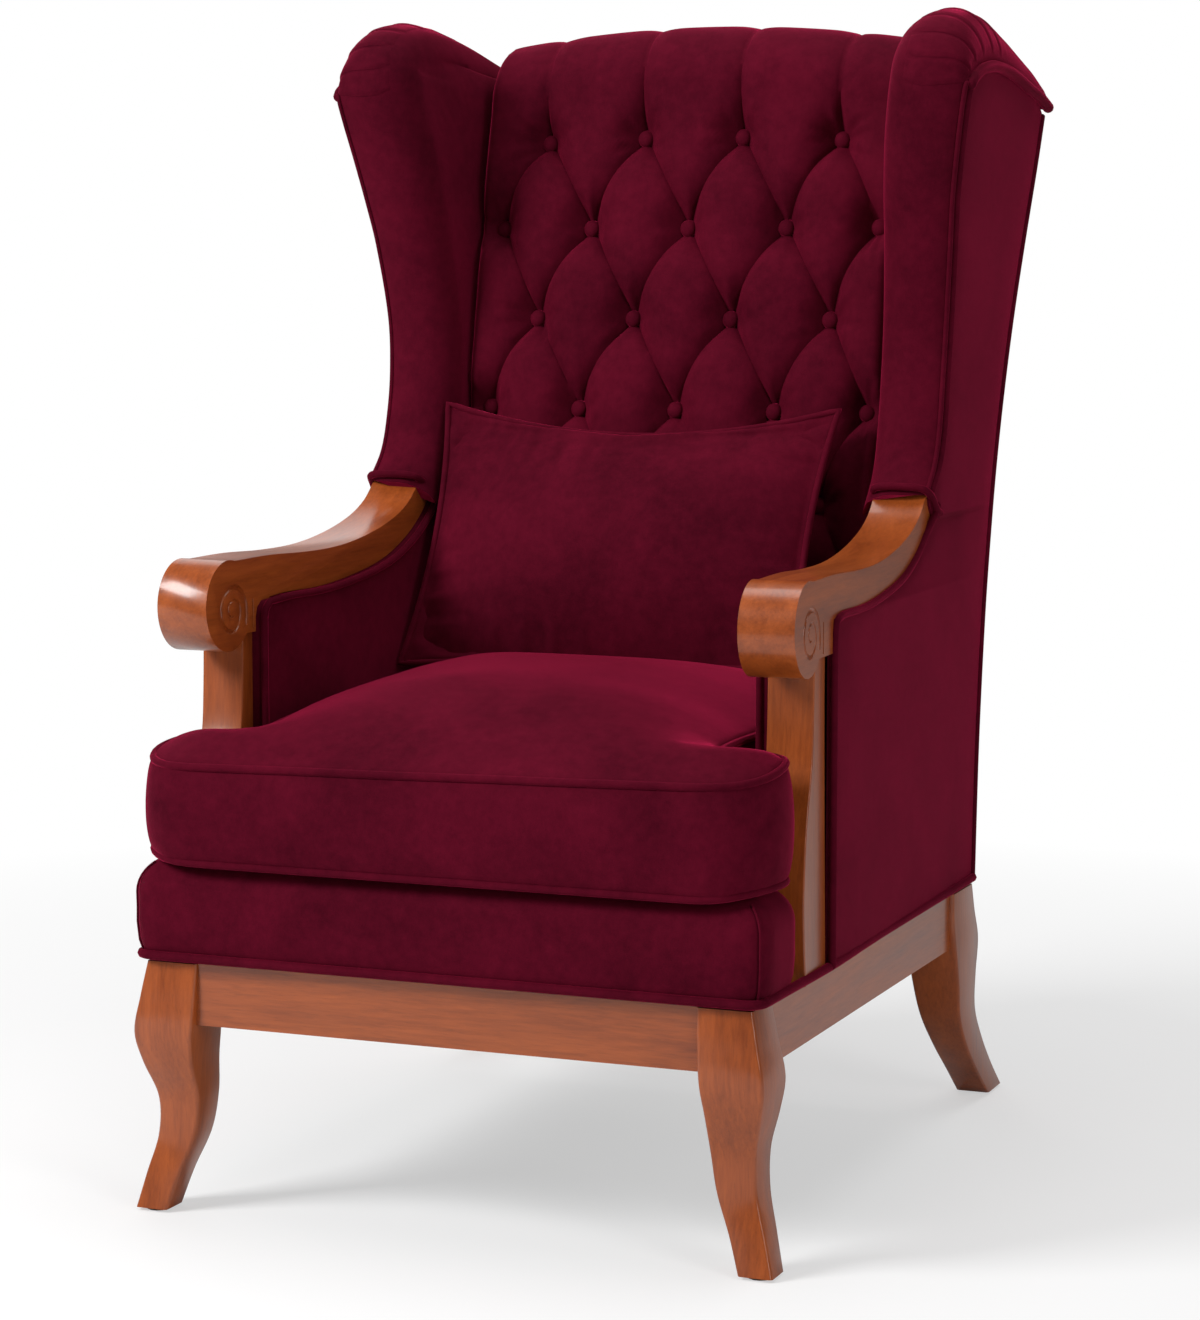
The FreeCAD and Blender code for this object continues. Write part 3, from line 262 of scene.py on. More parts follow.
def wood_group() -> Tree:
    """Return the group that draws lacquered wood: broad figure, fine fibres and short dark pores."""
    name = "wood figure"
    if name in bpy.data.node_groups:
        return bpy.data.node_groups[name]
    group, source, sink = new_group(
        name,
        [
            ("Vector", "NodeSocketVector", (0, 0, 0)), ("Dark", "NodeSocketColor", (0.2, 0.05, 0.01, 1)),
            ("Warm", "NodeSocketColor", (0.4, 0.12, 0.03, 1)),
        ],
        [("Color", "NodeSocketColor"), ("Rough", "NodeSocketFloat"), ("Fibre", "NodeSocketFloat")],
    )
    place = source.outputs["Vector"]
    figure = noise(group, place, 3.4, 3.0, 0.5, 0.35)
    fibres = noise(group, place, 26.0, 5.0, 0.65, 0.25)
    pores = noise(group, place, 85.0, 2.0, 0.5)
    broad = math_node(group, "MULTIPLY_ADD", fibres, 0.55, math_node(group, "MULTIPLY", figure, 0.6))
    share = stretch(group, broad, 0.30, 0.84)
    tone = mix_colours(group, share, source.outputs["Dark"], source.outputs["Warm"])
    flecks = ramp(group, pores, (0.30, (0.62, 0.62, 0.62)), (0.42, (1, 1, 1)))
    feed(group, sink, {
        "Color": mix_colours(group, 0.35, tone, flecks, "MULTIPLY"),
        "Rough": math_node(group, "MULTIPLY_ADD", figure, 0.16, 0.24),
        "Fibre": fibres,
    })
    return group


def start_material(name: str) -> tuple[bpy.types.Material, Tree, bpy.types.Node]:
    """Return a new material, its tree and its Principled shader."""
    material = bpy.data.materials.new(name)
    material.use_nodes = True
    tree = material.node_tree
    return material, tree, tree.nodes["Principled BSDF"]


@dataclass(frozen=True)
class Velvet:
    """A short, dense pile that darkens face on and glows at its turning edges."""

    name: str = "burgundy velvet"
    deep: Point = (0.034, 0.0007, 0.0050)
    lit: Point = (0.108, 0.0032, 0.0150)
    sheen: float = 0.62
    sheen_rough: float = 0.30
    sheen_tint: Point = (1.0, 0.035, 0.15)
    specular: float = 0.03
    slot: str = "velvet"

    def build(self) -> bpy.types.Material:
        """Return the material."""
        material, tree, shader = start_material(self.name)
        colours = {"Deep": (*self.deep, 1), "Lit": (*self.lit, 1)}
        pile = add_node(tree, "Group", colours, node_tree=velvet_group())
        feed(tree, shader, {
            Sockets.COLOUR: pile.outputs["Color"],
            Sockets.ROUGH: pile.outputs["Rough"],
            "Sheen Weight": self.sheen,
            "Sheen Roughness": self.sheen_rough,
            "Sheen Tint": (*self.sheen_tint, 1),
            Sockets.SPECULAR: self.specular,
            Sockets.NORMAL: bump(tree, pile.outputs["Nap"], 0.0006, 0.35),
        })
        return material


@dataclass(frozen=True)
class ShowWood:
    """Reddish-brown hardwood under a satin lacquer."""

    grain: Grain
    dark: Point = (0.150, 0.0270, 0.0050)
    warm: Point = (0.400, 0.0880, 0.0150)
    figure_scale: float = 0.9
    coat: float = 0.40
    coat_rough: float = 0.16
    specular: float = 0.30
    slot: str = "show_wood"

    def build(self) -> bpy.types.Material:
        """Return the material."""
        material, tree, shader = start_material("show wood " + self.grain.name.lower())
        scale = tuple(share * self.figure_scale for share in self.grain.value)
        mapping = add_node(tree, "Mapping", {"Vector": object_place(tree), "Scale": scale})
        inputs = {"Vector": mapping.outputs["Vector"], "Dark": (*self.dark, 1), "Warm": (*self.warm, 1)}
        figure = add_node(tree, "Group", inputs, node_tree=wood_group())
        feed(tree, shader, {
            Sockets.COLOUR: figure.outputs["Color"],
            Sockets.ROUGH: figure.outputs["Rough"],
            "Coat Weight": self.coat,
            "Coat Roughness": self.coat_rough,
            Sockets.SPECULAR: self.specular,
            Sockets.NORMAL: bump(tree, figure.outputs["Fibre"], 0.0004, 0.25),
        })
        return material


@dataclass(frozen=True)
class Plain:
    """A hidden or small piece's finish: one colour broken up by a noise."""

    name: str
    dark: Point
    light: Point
    slot: str
    scale: float = 60.0
    rough: float = 0.8
    metal: float = 0.0

    def build(self) -> bpy.types.Material:
        """Return the material."""
        material, tree, shader = start_material(self.name)
        speckle = noise(tree, object_place(tree), self.scale, 4.0, 0.6)
        feed(tree, shader, {
            Sockets.COLOUR: ramp(tree, speckle, (0.3, self.dark), (0.7, self.light)),
            Sockets.ROUGH: self.rough,
            "Metallic": self.metal,
            Sockets.NORMAL: bump(tree, speckle, 0.0005, 0.4),
        })
        return material


class Finishes:
    """Builds each finish once and hands it out."""

    def __init__(self) -> None:
        """Start with no material built."""
        self.built: dict[object, bpy.types.Material] = {}

    def material(self, finish) -> bpy.types.Material:
        """Return a finish's material, built the first time."""
        if finish not in self.built:
            self.built[finish] = finish.build()
        return self.built[finish]

    def dress(self, piece: Piece, finish) -> None:
        """Put a finish on a piece."""
        piece.data.materials.clear()
        piece.data.materials.append(self.material(finish))
        for polygon in piece.data.polygons:
            polygon.material_index = 0

    def dress_node(self, node: str, finish) -> None:
        """Put a finish on a CAD node, whose mesh stays as it is."""
        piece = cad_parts[node]
        if not piece.data.materials:
            piece.data.materials.append(None)
        for slot in piece.material_slots:
            slot.material = self.material(finish)


FINISHES = Finishes()
VELVET = Velvet()


class Bench:
    """Modelling by hand: primitives, edit-mode operators and applied modifiers."""

    @staticmethod
    def deselect() -> None:
        """Leave nothing selected."""
        if bpy.context.object and bpy.context.object.mode != "OBJECT":
            bpy.ops.object.mode_set(mode="OBJECT")
        bpy.ops.object.select_all(action="DESELECT")

    @staticmethod
    def only(piece: Piece) -> None:
        """Select one object and make it active."""
        Bench.deselect()
        piece.select_set(True)
        bpy.context.view_layer.objects.active = piece

    @staticmethod
    def apply(piece: Piece, kind: str, **settings) -> None:
        """Add a modifier with the given settings and apply it."""
        Bench.only(piece)
        modifier = piece.modifiers.new(kind.lower(), kind)
        for name, value in settings.items():
            setattr(modifier, name, value)
        bpy.ops.object.modifier_apply(modifier=modifier.name)

    @staticmethod
    def face_outwards(piece: Piece, merge: float = 0.0) -> None:
        """Merge doubles if asked, then turn all faces outwards."""
        Bench.only(piece)
        bpy.ops.object.mode_set(mode="EDIT")
        bpy.ops.mesh.select_all(action="SELECT")
        if merge:
            bpy.ops.mesh.remove_doubles(threshold=merge)
        bpy.ops.mesh.normals_make_consistent(inside=False)
        bpy.ops.object.mode_set(mode="OBJECT")

    @staticmethod
    def stack(name: str, rings: Sequence[Sequence[Vector]]) -> Piece:
        """Extrude a closed outline through a row of rings with equal numbers of points.

        Args:
            name: The piece's name.
            rings: The outlines, from one end to the other, in metres.

        Returns:
            The closed piece, with flat ends.
        """
        Bench.deselect()
        bpy.ops.mesh.primitive_circle_add(vertices=len(rings[0]), radius=0.1, fill_type="NGON")
        piece = bpy.context.active_object
        piece.name = name
        bpy.ops.object.mode_set(mode="EDIT")
        for count, ring in enumerate(rings):
            if count:
                bpy.ops.mesh.extrude_region_move()
            mesh = bmesh.from_edit_mesh(piece.data)
            if not count:
                order = mesh.verts.layers.int.new("order")
                for k, corner in enumerate(mesh.verts):
                    corner[order] = k
            order = mesh.verts.layers.int["order"]
            for corner in mesh.verts:
                if corner.select:
                    corner.co = ring[corner[order]]
            bmesh.update_edit_mesh(piece.data)
        bpy.ops.object.mode_set(mode="OBJECT")
        Bench.face_outwards(piece)
        return piece

    @staticmethod
    def grid(name: str, across: int, along: int, place: Callable[[float, float], Vector]) -> Piece:
        """Add a grid and shape it.

        Args:
            name: The piece's name.
            across: Cells in the first direction.
            along: Cells in the second direction.
            place: Gives a point's place from two numbers between 0 and 1.

        Returns:
            The open sheet.
        """
        Bench.deselect()
        bpy.ops.mesh.primitive_grid_add(x_subdivisions=across, y_subdivisions=along, size=2)
        piece = bpy.context.active_object
        piece.name = name
        for corner in piece.data.vertices:
            corner.co = place((corner.co.x + 1) / 2, (corner.co.y + 1) / 2)
        return piece

    @staticmethod
    def join(name: str, pieces: Sequence[Piece]) -> Piece:
        """Join pieces into one object and return it."""
        Bench.only(pieces[0])
        for piece in pieces:
            piece.select_set(True)
        if len(pieces) > 1:
            bpy.ops.object.join()
        pieces[0].name = name
        return pieces[0]

    @staticmethod
    def soft_shade(piece: Piece, degrees: float = 180.0) -> None:
        """Shade smooth, with creases sharper than an angle kept."""
        Bench.only(piece)
        if degrees >= 180:
            bpy.ops.object.shade_smooth()
        else:
            bpy.ops.object.shade_smooth_by_angle(angle=math.radians(degrees))

    @staticmethod
    def mirrored(piece: Piece, name: str) -> Piece:
        """Return a copy with its own mesh, mirrored across X = 0."""
        Bench.only(piece)
        bpy.ops.object.duplicate()
        copy = bpy.context.active_object
        copy.name = name
        copy.data.transform(Matrix.Scale(-1, 4, (1, 0, 0)))
        Bench.face_outwards(copy)
        return copy

    @staticmethod
    def pair(right: Piece, stem: str, degrees: float = 0.0):
        """Mirror a right-hand piece, shade the copy if asked, and return each side with its piece."""
        left = Bench.mirrored(right, stem + "_left")
        if degrees:
            Bench.soft_shade(left, degrees)
        return (Side.RIGHT, right), (Side.LEFT, left)

    @staticmethod
    def hug(line: Sequence[Vector], cover: Piece, stand: float) -> list[Vector]:
        """Draw a closed line on to a cover's surface, a little proud of it, and even it out."""
        drawn = []
        for place in line:
            _, near, normal, _ = cover.closest_point_on_mesh(place)
            drawn.append(near + normal * stand)
        for _ in range(2):
            drawn = [(drawn[k - 1] + p * 2 + drawn[(k + 1) % len(drawn)]) / 4 for k, p in enumerate(drawn)]
        return drawn

    @staticmethod
    def tube(
        name: str, points: Sequence[Vector], radius: float, closed: bool = False, detail: int = 2,
        shares: Sequence[float] = (),
    ) -> Piece:
        """Draw a round tube through points.

        Args:
            name: The piece's name.
            points: Its line, in metres.
            radius: Its radius, in metres.
            closed: Whether it closes on itself.
            detail: How finely it is rounded.
            shares: The share of the radius at each point, if it varies.

        Returns:
            The tube as a mesh.
        """
        Bench.deselect()
        data = bpy.data.curves.new(name, "CURVE")
        data.dimensions = "3D"
        data.bevel_depth = radius
        data.bevel_resolution = detail
        data.use_fill_caps = not closed
        line = data.splines.new("POLY")
        line.points.add(len(points) - 1)
        for point, place in zip(line.points, points):
            point.co = (*place, 1)
        for point, share in zip(line.points, shares):
            point.radius = share
        line.use_cyclic_u = closed
        tube = bpy.data.objects.new(name, data)
        bpy.context.scene.collection.objects.link(tube)
        Bench.only(tube)
        bpy.ops.object.convert(target="MESH")
        return bpy.context.active_object

    @staticmethod
    def piping(name: str, runs: Sequence[tuple[Sequence[Vector], float, bool]]) -> Piece:
        """Draw covered cord along smooth lines.

        Args:
            name: The piece's name.
            runs: For each cord its points in metres, its radius and whether it closes on itself.

        Returns:
            One mesh with all the cords, whose open ends are rounded.
        """
        pieces = []
        for points, radius, closed in runs:
            cord = Bench.tube(name, points, radius, closed)
            for end in () if closed else (points[0], points[-1]):
                bpy.ops.mesh.primitive_uv_sphere_add(segments=10, ring_count=6, radius=radius, location=end)
                pieces.append(bpy.context.active_object)
                bpy.ops.object.transform_apply(location=True, rotation=True, scale=True)
            pieces.append(cord)
        piece = Bench.join(name, pieces)
        Bench.soft_shade(piece)
        return piece


def ring_path(points: Sequence[Sequence[float]], steps: int) -> list[Vector]:
    """Return metres on a smooth line through measured (x, y, z) points."""
    return [spot(*point) for point in smooth_path(points, steps)]


def rounded_box(
    x0: float, x1: float, y0: float, y1: float, z: float, radius: float, steps: int,
) -> list[Vector]:
    """Return a level rectangle with rounded corners, in measured millimetres."""
    points = []
    for cx, cy, turn in ((x1, y1, 0), (x0, y1, 90), (x0, y0, 180), (x1, y0, 270)):
        ox = cx - math.copysign(radius, cx - (x0 + x1) / 2)
        oy = cy - math.copysign(radius, cy - (y0 + y1) / 2)
        for k in range(steps + 1):
            angle = math.radians(turn + 90 * k / steps)
            points.append(spot(ox + radius * math.cos(angle), oy + radius * math.sin(angle), z))
    return points


def plan_outline(corners: Sequence[Point], steps: int, pieces: Sequence[int]) -> np.ndarray:
    """Return a rounded plan outline.

    Args:
        corners: Corners in order, each with x, y and the radius that rounds it.
        steps: Steps round each corner.
        pieces: How many parts the straight run after each corner is cut into.

    Returns:
        Points, two columns, in millimetres.
    """
    count = len(corners)
    arcs = []
    for k, (x, y, radius) in enumerate(corners):
        here = np.array((x, y))
        before = np.array(corners[k - 1][:2]) - here
        after = np.array(corners[(k + 1) % count][:2]) - here
        before, after = before / np.linalg.norm(before), after / np.linalg.norm(after)
        centre = here + (before + after) * radius
        arc = []
        for n in range(steps + 1):
            angle = math.pi / 2 * n / steps
            arc.append(centre - after * radius * math.cos(angle) - before * radius * math.sin(angle))
        arcs.append(arc)
    points = []
    for k, arc in enumerate(arcs):
        points += arc
        start, end = arc[-1], arcs[(k + 1) % count][0]
        points += [start + (end - start) * n / pieces[k] for n in range(1, pieces[k])]
    return np.array(points)


def tee_plan(ear: float, stem: float, front: float, ear_back: float, back: float, inset: float) -> np.ndarray:
    """Return the plan of a T-shaped cushion, drawn in by an inset, in millimetres."""
    ear, stem, front = ear - inset, stem - inset, front + inset
    ear_back, back = ear_back - inset, back - inset
    nose, tail = max(NOSE_RADIUS - inset, 8.0), max(40 - inset, 6.0)
    armpit = 12 + inset * 0.5
    corners = (
        (-ear, front, nose), (ear, front, nose), (ear, ear_back, tail * 0.9), (stem, ear_back, armpit),
        (stem, back, tail), (-stem, back, tail), (-stem, ear_back, armpit), (-ear, ear_back, tail * 0.9),
    )
    return plan_outline(corners, 7, (37, 2, 3, 25, 29, 25, 3, 2))


def edge_distance(points: np.ndarray, outline: np.ndarray) -> np.ndarray:
    """Return how far each plan point is from a closed outline."""
    best = np.full(len(points), 1e9)
    for a, b in zip(outline, np.roll(outline, -1, axis=0)):
        run = b - a
        length = float(run @ run) or 1e-9
        t = np.clip(((points - a) @ run) / length, 0, 1)
        best = np.minimum(best, np.linalg.norm(points - (a + t[:, None] * run), axis=1))
    return best


@dataclass
class Legs:
    """Bowed front legs and raked rear legs, shaped through rounded sections."""

    front: Rows = (
        (3, 295, 329, 4, 38), (38, 284, 320, 10, 46), (75, 270, 310, 16, 56), (113, 264, 309, 15, 60),
        (150, 263, 318, 1, 60), (180, 260, 323, -6, 59), (215, 257.5, 317, -4, 56), (250, 256, 310, 0, 54.5),
    )
    rear: Rows = (
        (3, 280, 317, 769, 821), (35, 279, 316, 729, 784), (72, 275, 315, 688, 748),
        (110, 269, 315, 659, 720),
        (150, 264, 317, 645, 714), (188, 262, 317, 634, 722), (220, 262, 315.5, 629, 712),
        (250, 262, 315, 629, 702),
    )
    arris: float = 3.4
    levels: int = 46

    def build(self) -> list[Piece]:
        """Make and dress the four legs."""
        pieces = []
        for stem, table in (("front_leg", self.front), ("rear_leg", self.rear)):
            rings = []
            for k in range(self.levels + 1):
                z = table[0][0] + (table[-1][0] - table[0][0]) * k / self.levels
                rings.append(rounded_box(*smooth_at(table, z), z, self.arris, 3))
            right = Bench.stack(stem + "_wood_right", rings)
            Bench.soft_shade(right, 40)
            for side, piece in Bench.pair(right, stem + "_wood", 40):
                FINISHES.dress(piece, ShowWood(Grain.UPRIGHT))
                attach(piece, "root")
                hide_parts(f"{stem}_{side.word}")
                pieces.append(piece)
        return pieces


@dataclass
class Arms:
    """Scroll arms with carved volutes, and the posts that they stand on."""

    width: float = 54.5
    rear_x: float = 285.5
    rear_y: float = 518.0
    toe_out: float = 1.8
    scroll: tuple[float, float, float] = (105.0, 586.0, 45.0)
    top: Rows = (
        (546, 714), (531, 699), (515, 683), (492, 664), (457, 649), (400, 636), (335, 628.5), (264, 627.5),
        (187, 630), (117, 629.4),
    )
    belly: Rows = (
        (185, 588), (215, 590), (290, 590), (363, 596), (430, 607), (481, 625), (516, 645), (545, 670),
        (572, 700),
    )
    post_front: Rows = ((118, 250), (112, 294), (110, 341), (118, 403), (133, 455), (137, 499), (139, 560))
    post_back: Rows = ((173, 560), (173, 504), (177, 380), (182, 250))
    post_width: float = 45.5
    volute: Rows = (
        (-30, 31.0, 3.0), (0, 27.5, 3.2), (90, 23.5, 3.2), (180, 22.5, 3.0), (270, 20.0, 2.6),
        (360, 15.0, 2.2),
        (450, 11.0, 1.9), (540, 8.0, 1.6), (640, 5.0, 1.2),
    )
    volute_centre: Flat = (112.0, 580.0)
    volute_depth_share: float = 0.85
    neck: Flat = (185.0, 556.0)
    tick: Point = (151.5, 574.0, 30.0)

    def toe(self, piece: Piece) -> None:
        """Turn and move a piece drawn about x = 0 into the right arm's own plane."""
        pivot = spot(0, self.rear_y, 0)
        turn = Matrix.Rotation(math.radians(self.toe_out), 4, "Z")
        piece.data.transform(
            Matrix.Translation(pivot + Vector((self.rear_x / 1000, 0, 0))) @ turn @ Matrix.Translation(-pivot)
        )

    def board(self, name: str, outline: Sequence[Sequence[float]], width: float) -> Piece:
        """Return a board of a given outline (y, z) and width, about x = 0."""
        rings = [[spot(x, y, z) for y, z in outline] for x in (-width / 2, width / 2)]
        return Bench.stack(name, rings)

    def ease(self, piece: Piece, width: float) -> None:
        """Round the sharp edges by a width in metres, and keep the flat faces flat in the shading."""
        limit = math.radians(38)
        Bench.apply(piece, "BEVEL", width=width, segments=3, limit_method="ANGLE", angle_limit=limit)
        Bench.soft_shade(piece, 40)
        Bench.apply(piece, "WEIGHTED_NORMAL", keep_sharp=True)

    def groove(self, sign: int) -> Piece:
        """Return the cutter of one face's volute: a cord wound into a spiral, thinner inwards."""
        places, depths = [], []
        for angle in range(-30, 641, 10):
            radius, depth = smooth_at(self.volute, angle)
            turn = math.radians(angle)
            places.append(spot(
                sign * self.width / 2, self.volute_centre[0] + radius * math.cos(turn),
                self.volute_centre[1] + radius * math.sin(turn),
            ))
            depths.append(depth * self.volute_depth_share)
        return Bench.tube("volute", places, 0.001, detail=3, shares=depths)

    def notch(self, sign: int) -> Piece:
        """Return the cutter of the short upright tick behind one face's volute."""
        y, z, height = self.tick
        Bench.deselect()
        bpy.ops.mesh.primitive_cube_add(size=1, location=spot(sign * self.width / 2, y, z))
        cutter = bpy.context.active_object
        cutter.scale = (0.004, 0.0022, height / 1000)
        bpy.ops.object.transform_apply(location=True, rotation=True, scale=True)
        return cutter

    def arm(self) -> Piece:
        """Return the right arm, carved on both faces."""
        cy, cz, radius = self.scroll
        outline = list(smooth_path(self.top, 5))[:-1]
        heel = -math.degrees(math.asin((cz - self.neck[1]) / radius))
        for k in range(41):
            angle = math.radians(75 + (360 + heel - 75) * k / 40)
            outline.append((cy + radius * math.cos(angle), cz + radius * math.sin(angle)))
        outline.append(self.neck)
        outline += smooth_path(self.belly, 4)
        arm = self.board("arm_wood_right", outline, self.width)
        for carve in (self.groove, self.notch):
            for sign in (-1, 1):
                cutter = carve(sign)
                Bench.apply(arm, "BOOLEAN", operation="DIFFERENCE", object=cutter, solver="EXACT")
                bpy.data.objects.remove(cutter)
        self.ease(arm, 0.0013)
        self.toe(arm)
        return arm

    def build(self) -> list[Piece]:
        """Make and dress both arms and both posts."""
        outline = smooth_path(self.post_front, 4) + smooth_path(self.post_back, 3)
        post = self.board("arm_post_wood_right", outline, self.post_width)
        self.ease(post, 0.0016)
        self.toe(post)
        pieces = []
        made = ("arm", self.arm(), Grain.FORE_AND_AFT), ("arm_post", post, Grain.UPRIGHT)
        for stem, right, grain in made:
            for side, piece in Bench.pair(right, stem + "_wood", 40):
                FINISHES.dress(piece, ShowWood(grain))
                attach(piece, "root")
                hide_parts(f"{stem}_{side.word}")
                pieces.append(piece)
        return pieces


@dataclass
class WingShape:
    """Measured lines of the wings and outer panels, shared by all that meets them."""

    front: Rows = (
        (660, 316, 534), (683, 316, 518), (714, 316, 549), (752, 316, 565), (800, 316, 574),
        (860, 318.5, 576),
        (940, 326, 562), (987, 332, 548), (1034, 340, 535), (1071, 347, 525), (1100, 352, 521),
        (1125, 353, 528),
    )
    back_edge: Rows = (
        (254, 314, 705), (404, 314, 715), (539, 314, 733), (620, 314, 750), (700, 314, 771),
        (781, 315.5, 794),
        (863, 319, 817), (945, 325, 838), (1029, 333, 856), (1110, 341, 868),
    )
    inner: Rows = ((686, 241), (860, 245), (985, 249), (1070, 259), (1125, 268))
    panel_top: Rows = (
        (521, 1088), (530, 1099), (552, 1110), (580, 1118), (620, 1121), (680, 1121), (740, 1113),
        (805, 1103),
        (872, 1090),
    )


@dataclass
class Wings:
    """Padded wings: a cross-section swept up the front, over the top and back to the outer back."""

    shape: WingShape = field(default_factory=WingShape)
    stations: int = 96
    roll_steps: int = 22
    flat_steps: int = 9
    heel_x: float = 244.0
    laps: Sequence[float] = (418, 445, 474, 508, 548, 592, 640)
    # Distance along the edge: apex y, z; seam of the outer face y, z, x; inner end of the roll x;
    # inner face's far end y, z
    path: Rows = (
        (0, 503, 684, 519, 684, 316, 243, 612, 684), (30, 533, 714, 549, 714, 316, 242, 618, 714),
        (68, 549, 752, 565, 752, 316, 241, 626, 752), (116, 558, 800, 574, 800, 316, 241, 635, 800),
        (176, 559, 860, 576, 860, 318.5, 243, 647, 860), (256, 545, 940, 562, 940, 326, 247, 662, 940),
        (303, 531, 987, 548, 987, 332, 250, 671, 987), (350, 518, 1034, 535, 1034, 340, 254, 680, 1034),
        (387, 508, 1071, 525, 1071, 347, 259, 687, 1066), (417, 503, 1102, 521, 1096, 352, 263, 692, 1088),
        (440, 505, 1126, 527, 1104, 353, 265, 696, 1098), (463, 514, 1147, 541, 1110, 353, 267, 700, 1106),
        (490, 535, 1165, 562, 1116, 353, 268, 708, 1112), (520, 565, 1175, 592, 1120, 352, 268, 718, 1116),
        (555, 600, 1179, 622, 1122, 351, 267, 728, 1119), (605, 650, 1175, 662, 1121, 349, 264, 740, 1120),
        (660, 704, 1166, 710, 1117, 347, 260, 752, 1119), (725, 767, 1152, 768, 1108, 345, 256, 786, 1112),
        (785, 825, 1138, 825, 1100, 343, 252, 830, 1102), (834, 872, 1124, 872, 1090, 341, 249, 868, 1090),
    )

    def section(self, s: float) -> list[Vector]:
        """Return the closed cross-section at a distance along the edge."""
        ay, az, ey, ez, outer, inner, iy, iz = smooth_at(self.path, s)
        outer -= 0.5
        apex = np.array((ay, az))
        seam = np.array((ey, ez))
        rise = apex - seam
        depth = float(np.linalg.norm(rise)) or 1.0
        far = np.array((iy, iz))
        ahead = smooth_at(self.path, min(s + 4, self.path[-1][0]))[:2]
        behind = smooth_at(self.path, max(s - 4, 0))[:2]
        run = np.array(ahead) - np.array(behind)
        run /= np.linalg.norm(run) or 1.0
        out = np.array((-run[1], run[0]))
        if out @ rise < 0:
            out = -out
        centre_x = inner + (outer - inner) * 0.54
        half_in, half_out = centre_x - inner, outer - centre_x
        start = apex - out * half_in * 0.86
        points = []
        for k in range(self.flat_steps):
            u = k / self.flat_steps
            y, z = far + (start - far) * u
            x = self.heel_x + (inner - self.heel_x) * (1 - (1 - u) ** 1.6)
            points.append((x, y, z))
        for k in range(self.roll_steps + 1):
            angle = math.pi * k / self.roll_steps
            if angle < math.pi / 2:
                x = centre_x - half_in * math.cos(angle)
                y, z = start + (apex - start) * math.sin(angle)
            else:
                x = centre_x - half_out * math.cos(angle)
                y, z = seam + rise * math.sin(angle) ** (0.75 if depth > 25 else 1.0)
            points.append((x, y, z))
        y, z = seam - rise / depth * 3
        points.append((outer - 5, y, z))
        y, z = far + (seam - far) * 0.3
        points.append((outer - 18, y, z))
        y, z = far
        points.append((262, y, z))
        return [spot(*point) for point in points]

    def surface(self, s: float, w: float, lift: float) -> Vector:
        """Return a point on the roll: w runs from 0 at its inner end to 1 at its outer seam."""
        ring = self.section(s)
        place = self.flat_steps + w * self.roll_steps
        k = min(int(place), self.flat_steps + self.roll_steps - 1)
        point = ring[k].lerp(ring[k + 1], place - k)
        beside = self.section(min(s + 3, self.path[-1][0]))
        ahead = beside[k].lerp(beside[k + 1], place - k)
        normal = (ring[k + 1] - ring[k]).cross(ahead - point)
        centre = (ring[self.flat_steps] + ring[self.flat_steps + self.roll_steps]) / 2
        if normal.dot(point - centre) < 0:
            normal = -normal
        return point + normal.normalized() * lift / 1000

    def pleats(self, side_name: str) -> Piece:
        """Return the laps of cloth that fan over the wing's top, each one lipping over the next."""
        pieces = []
        for start, end in zip(self.laps, self.laps[1:]):
            def place(u: float, v: float, start: float = start, end: float = end) -> Vector:
                w = 0.30 + 0.66 * u
                s = start + (end - start) * v - 10 * math.sin(math.pi * u) * (1 - u)
                lip = 1.5 * (1 - v) ** 2 * min(1.0, u * 5) + 0.3
                edge = -1.4 if v in (0.0, 1.0) or u in (0.0, 1.0) else 0.0
                return self.surface(s, w, lip + edge)
            pieces.append(Bench.grid("pleat", 18, 9, place))
        piece = Bench.join("wing_pleats_" + side_name, pieces)
        Bench.soft_shade(piece, 60)
        return piece

    def welts(self) -> list[tuple[list[Vector], float, bool]]:
        """Return the right wing's piping: two lines up its outer edge, its top's cord and the collar."""
        last = self.path[-1][0]
        outer_line = []
        inner_line = []
        for s in range(4, 431, 7):
            _, _, ey, ez, outer, _, _, _ = smooth_at(self.path, s)
            outer_line.append(spot(outer + 0.5, ey + 2.5, ez))
            inner_line.append(spot(outer - 2.0, ey - 6.5, ez - 0.5))
        over = []
        for s in range(424, int(last), 8):
            _, _, ey, ez, outer, _, _, _ = smooth_at(self.path, s)
            over.append(spot(outer + 1.0, ey, ez - 1))
        collar = ring_path((
            (255, 560, 668), (254.5, 541, 672), (255.5, 524, 682), (259, 510, 689.5), (268, 506, 692),
            (286, 505, 692.5), (304, 506, 692), (313, 510, 689.5), (317, 522, 682), (318.5, 536, 668),
            (319, 547, 664),
        ), 4)
        return [(outer_line, 0.0038, False), (inner_line, 0.0026, False), (over, 0.0062, False),
                (collar, 0.0040, False)]

    def build(self) -> list[Piece]:
        """Make and dress both wings, their pleats and their piping."""
        last = self.path[-1][0]
        rings = [self.section(last * k / self.stations) for k in range(self.stations + 1)]
        right = Bench.stack("wing_cover_right", rings)
        Bench.soft_shade(right, 70)
        made = {"wing_cover": right, "wing_pleats": self.pleats("right")}
        made["wing_welts"] = Bench.piping("wing_welts_right", self.welts())
        pieces = []
        for stem, piece in made.items():
            for side, item in Bench.pair(piece, stem, 70 if stem == "wing_cover" else 0):
                FINISHES.dress(item, VELVET)
                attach(item, "root")
                if stem == "wing_cover":
                    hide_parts("wing_pad_" + side.word)
                pieces.append(item)
        return pieces


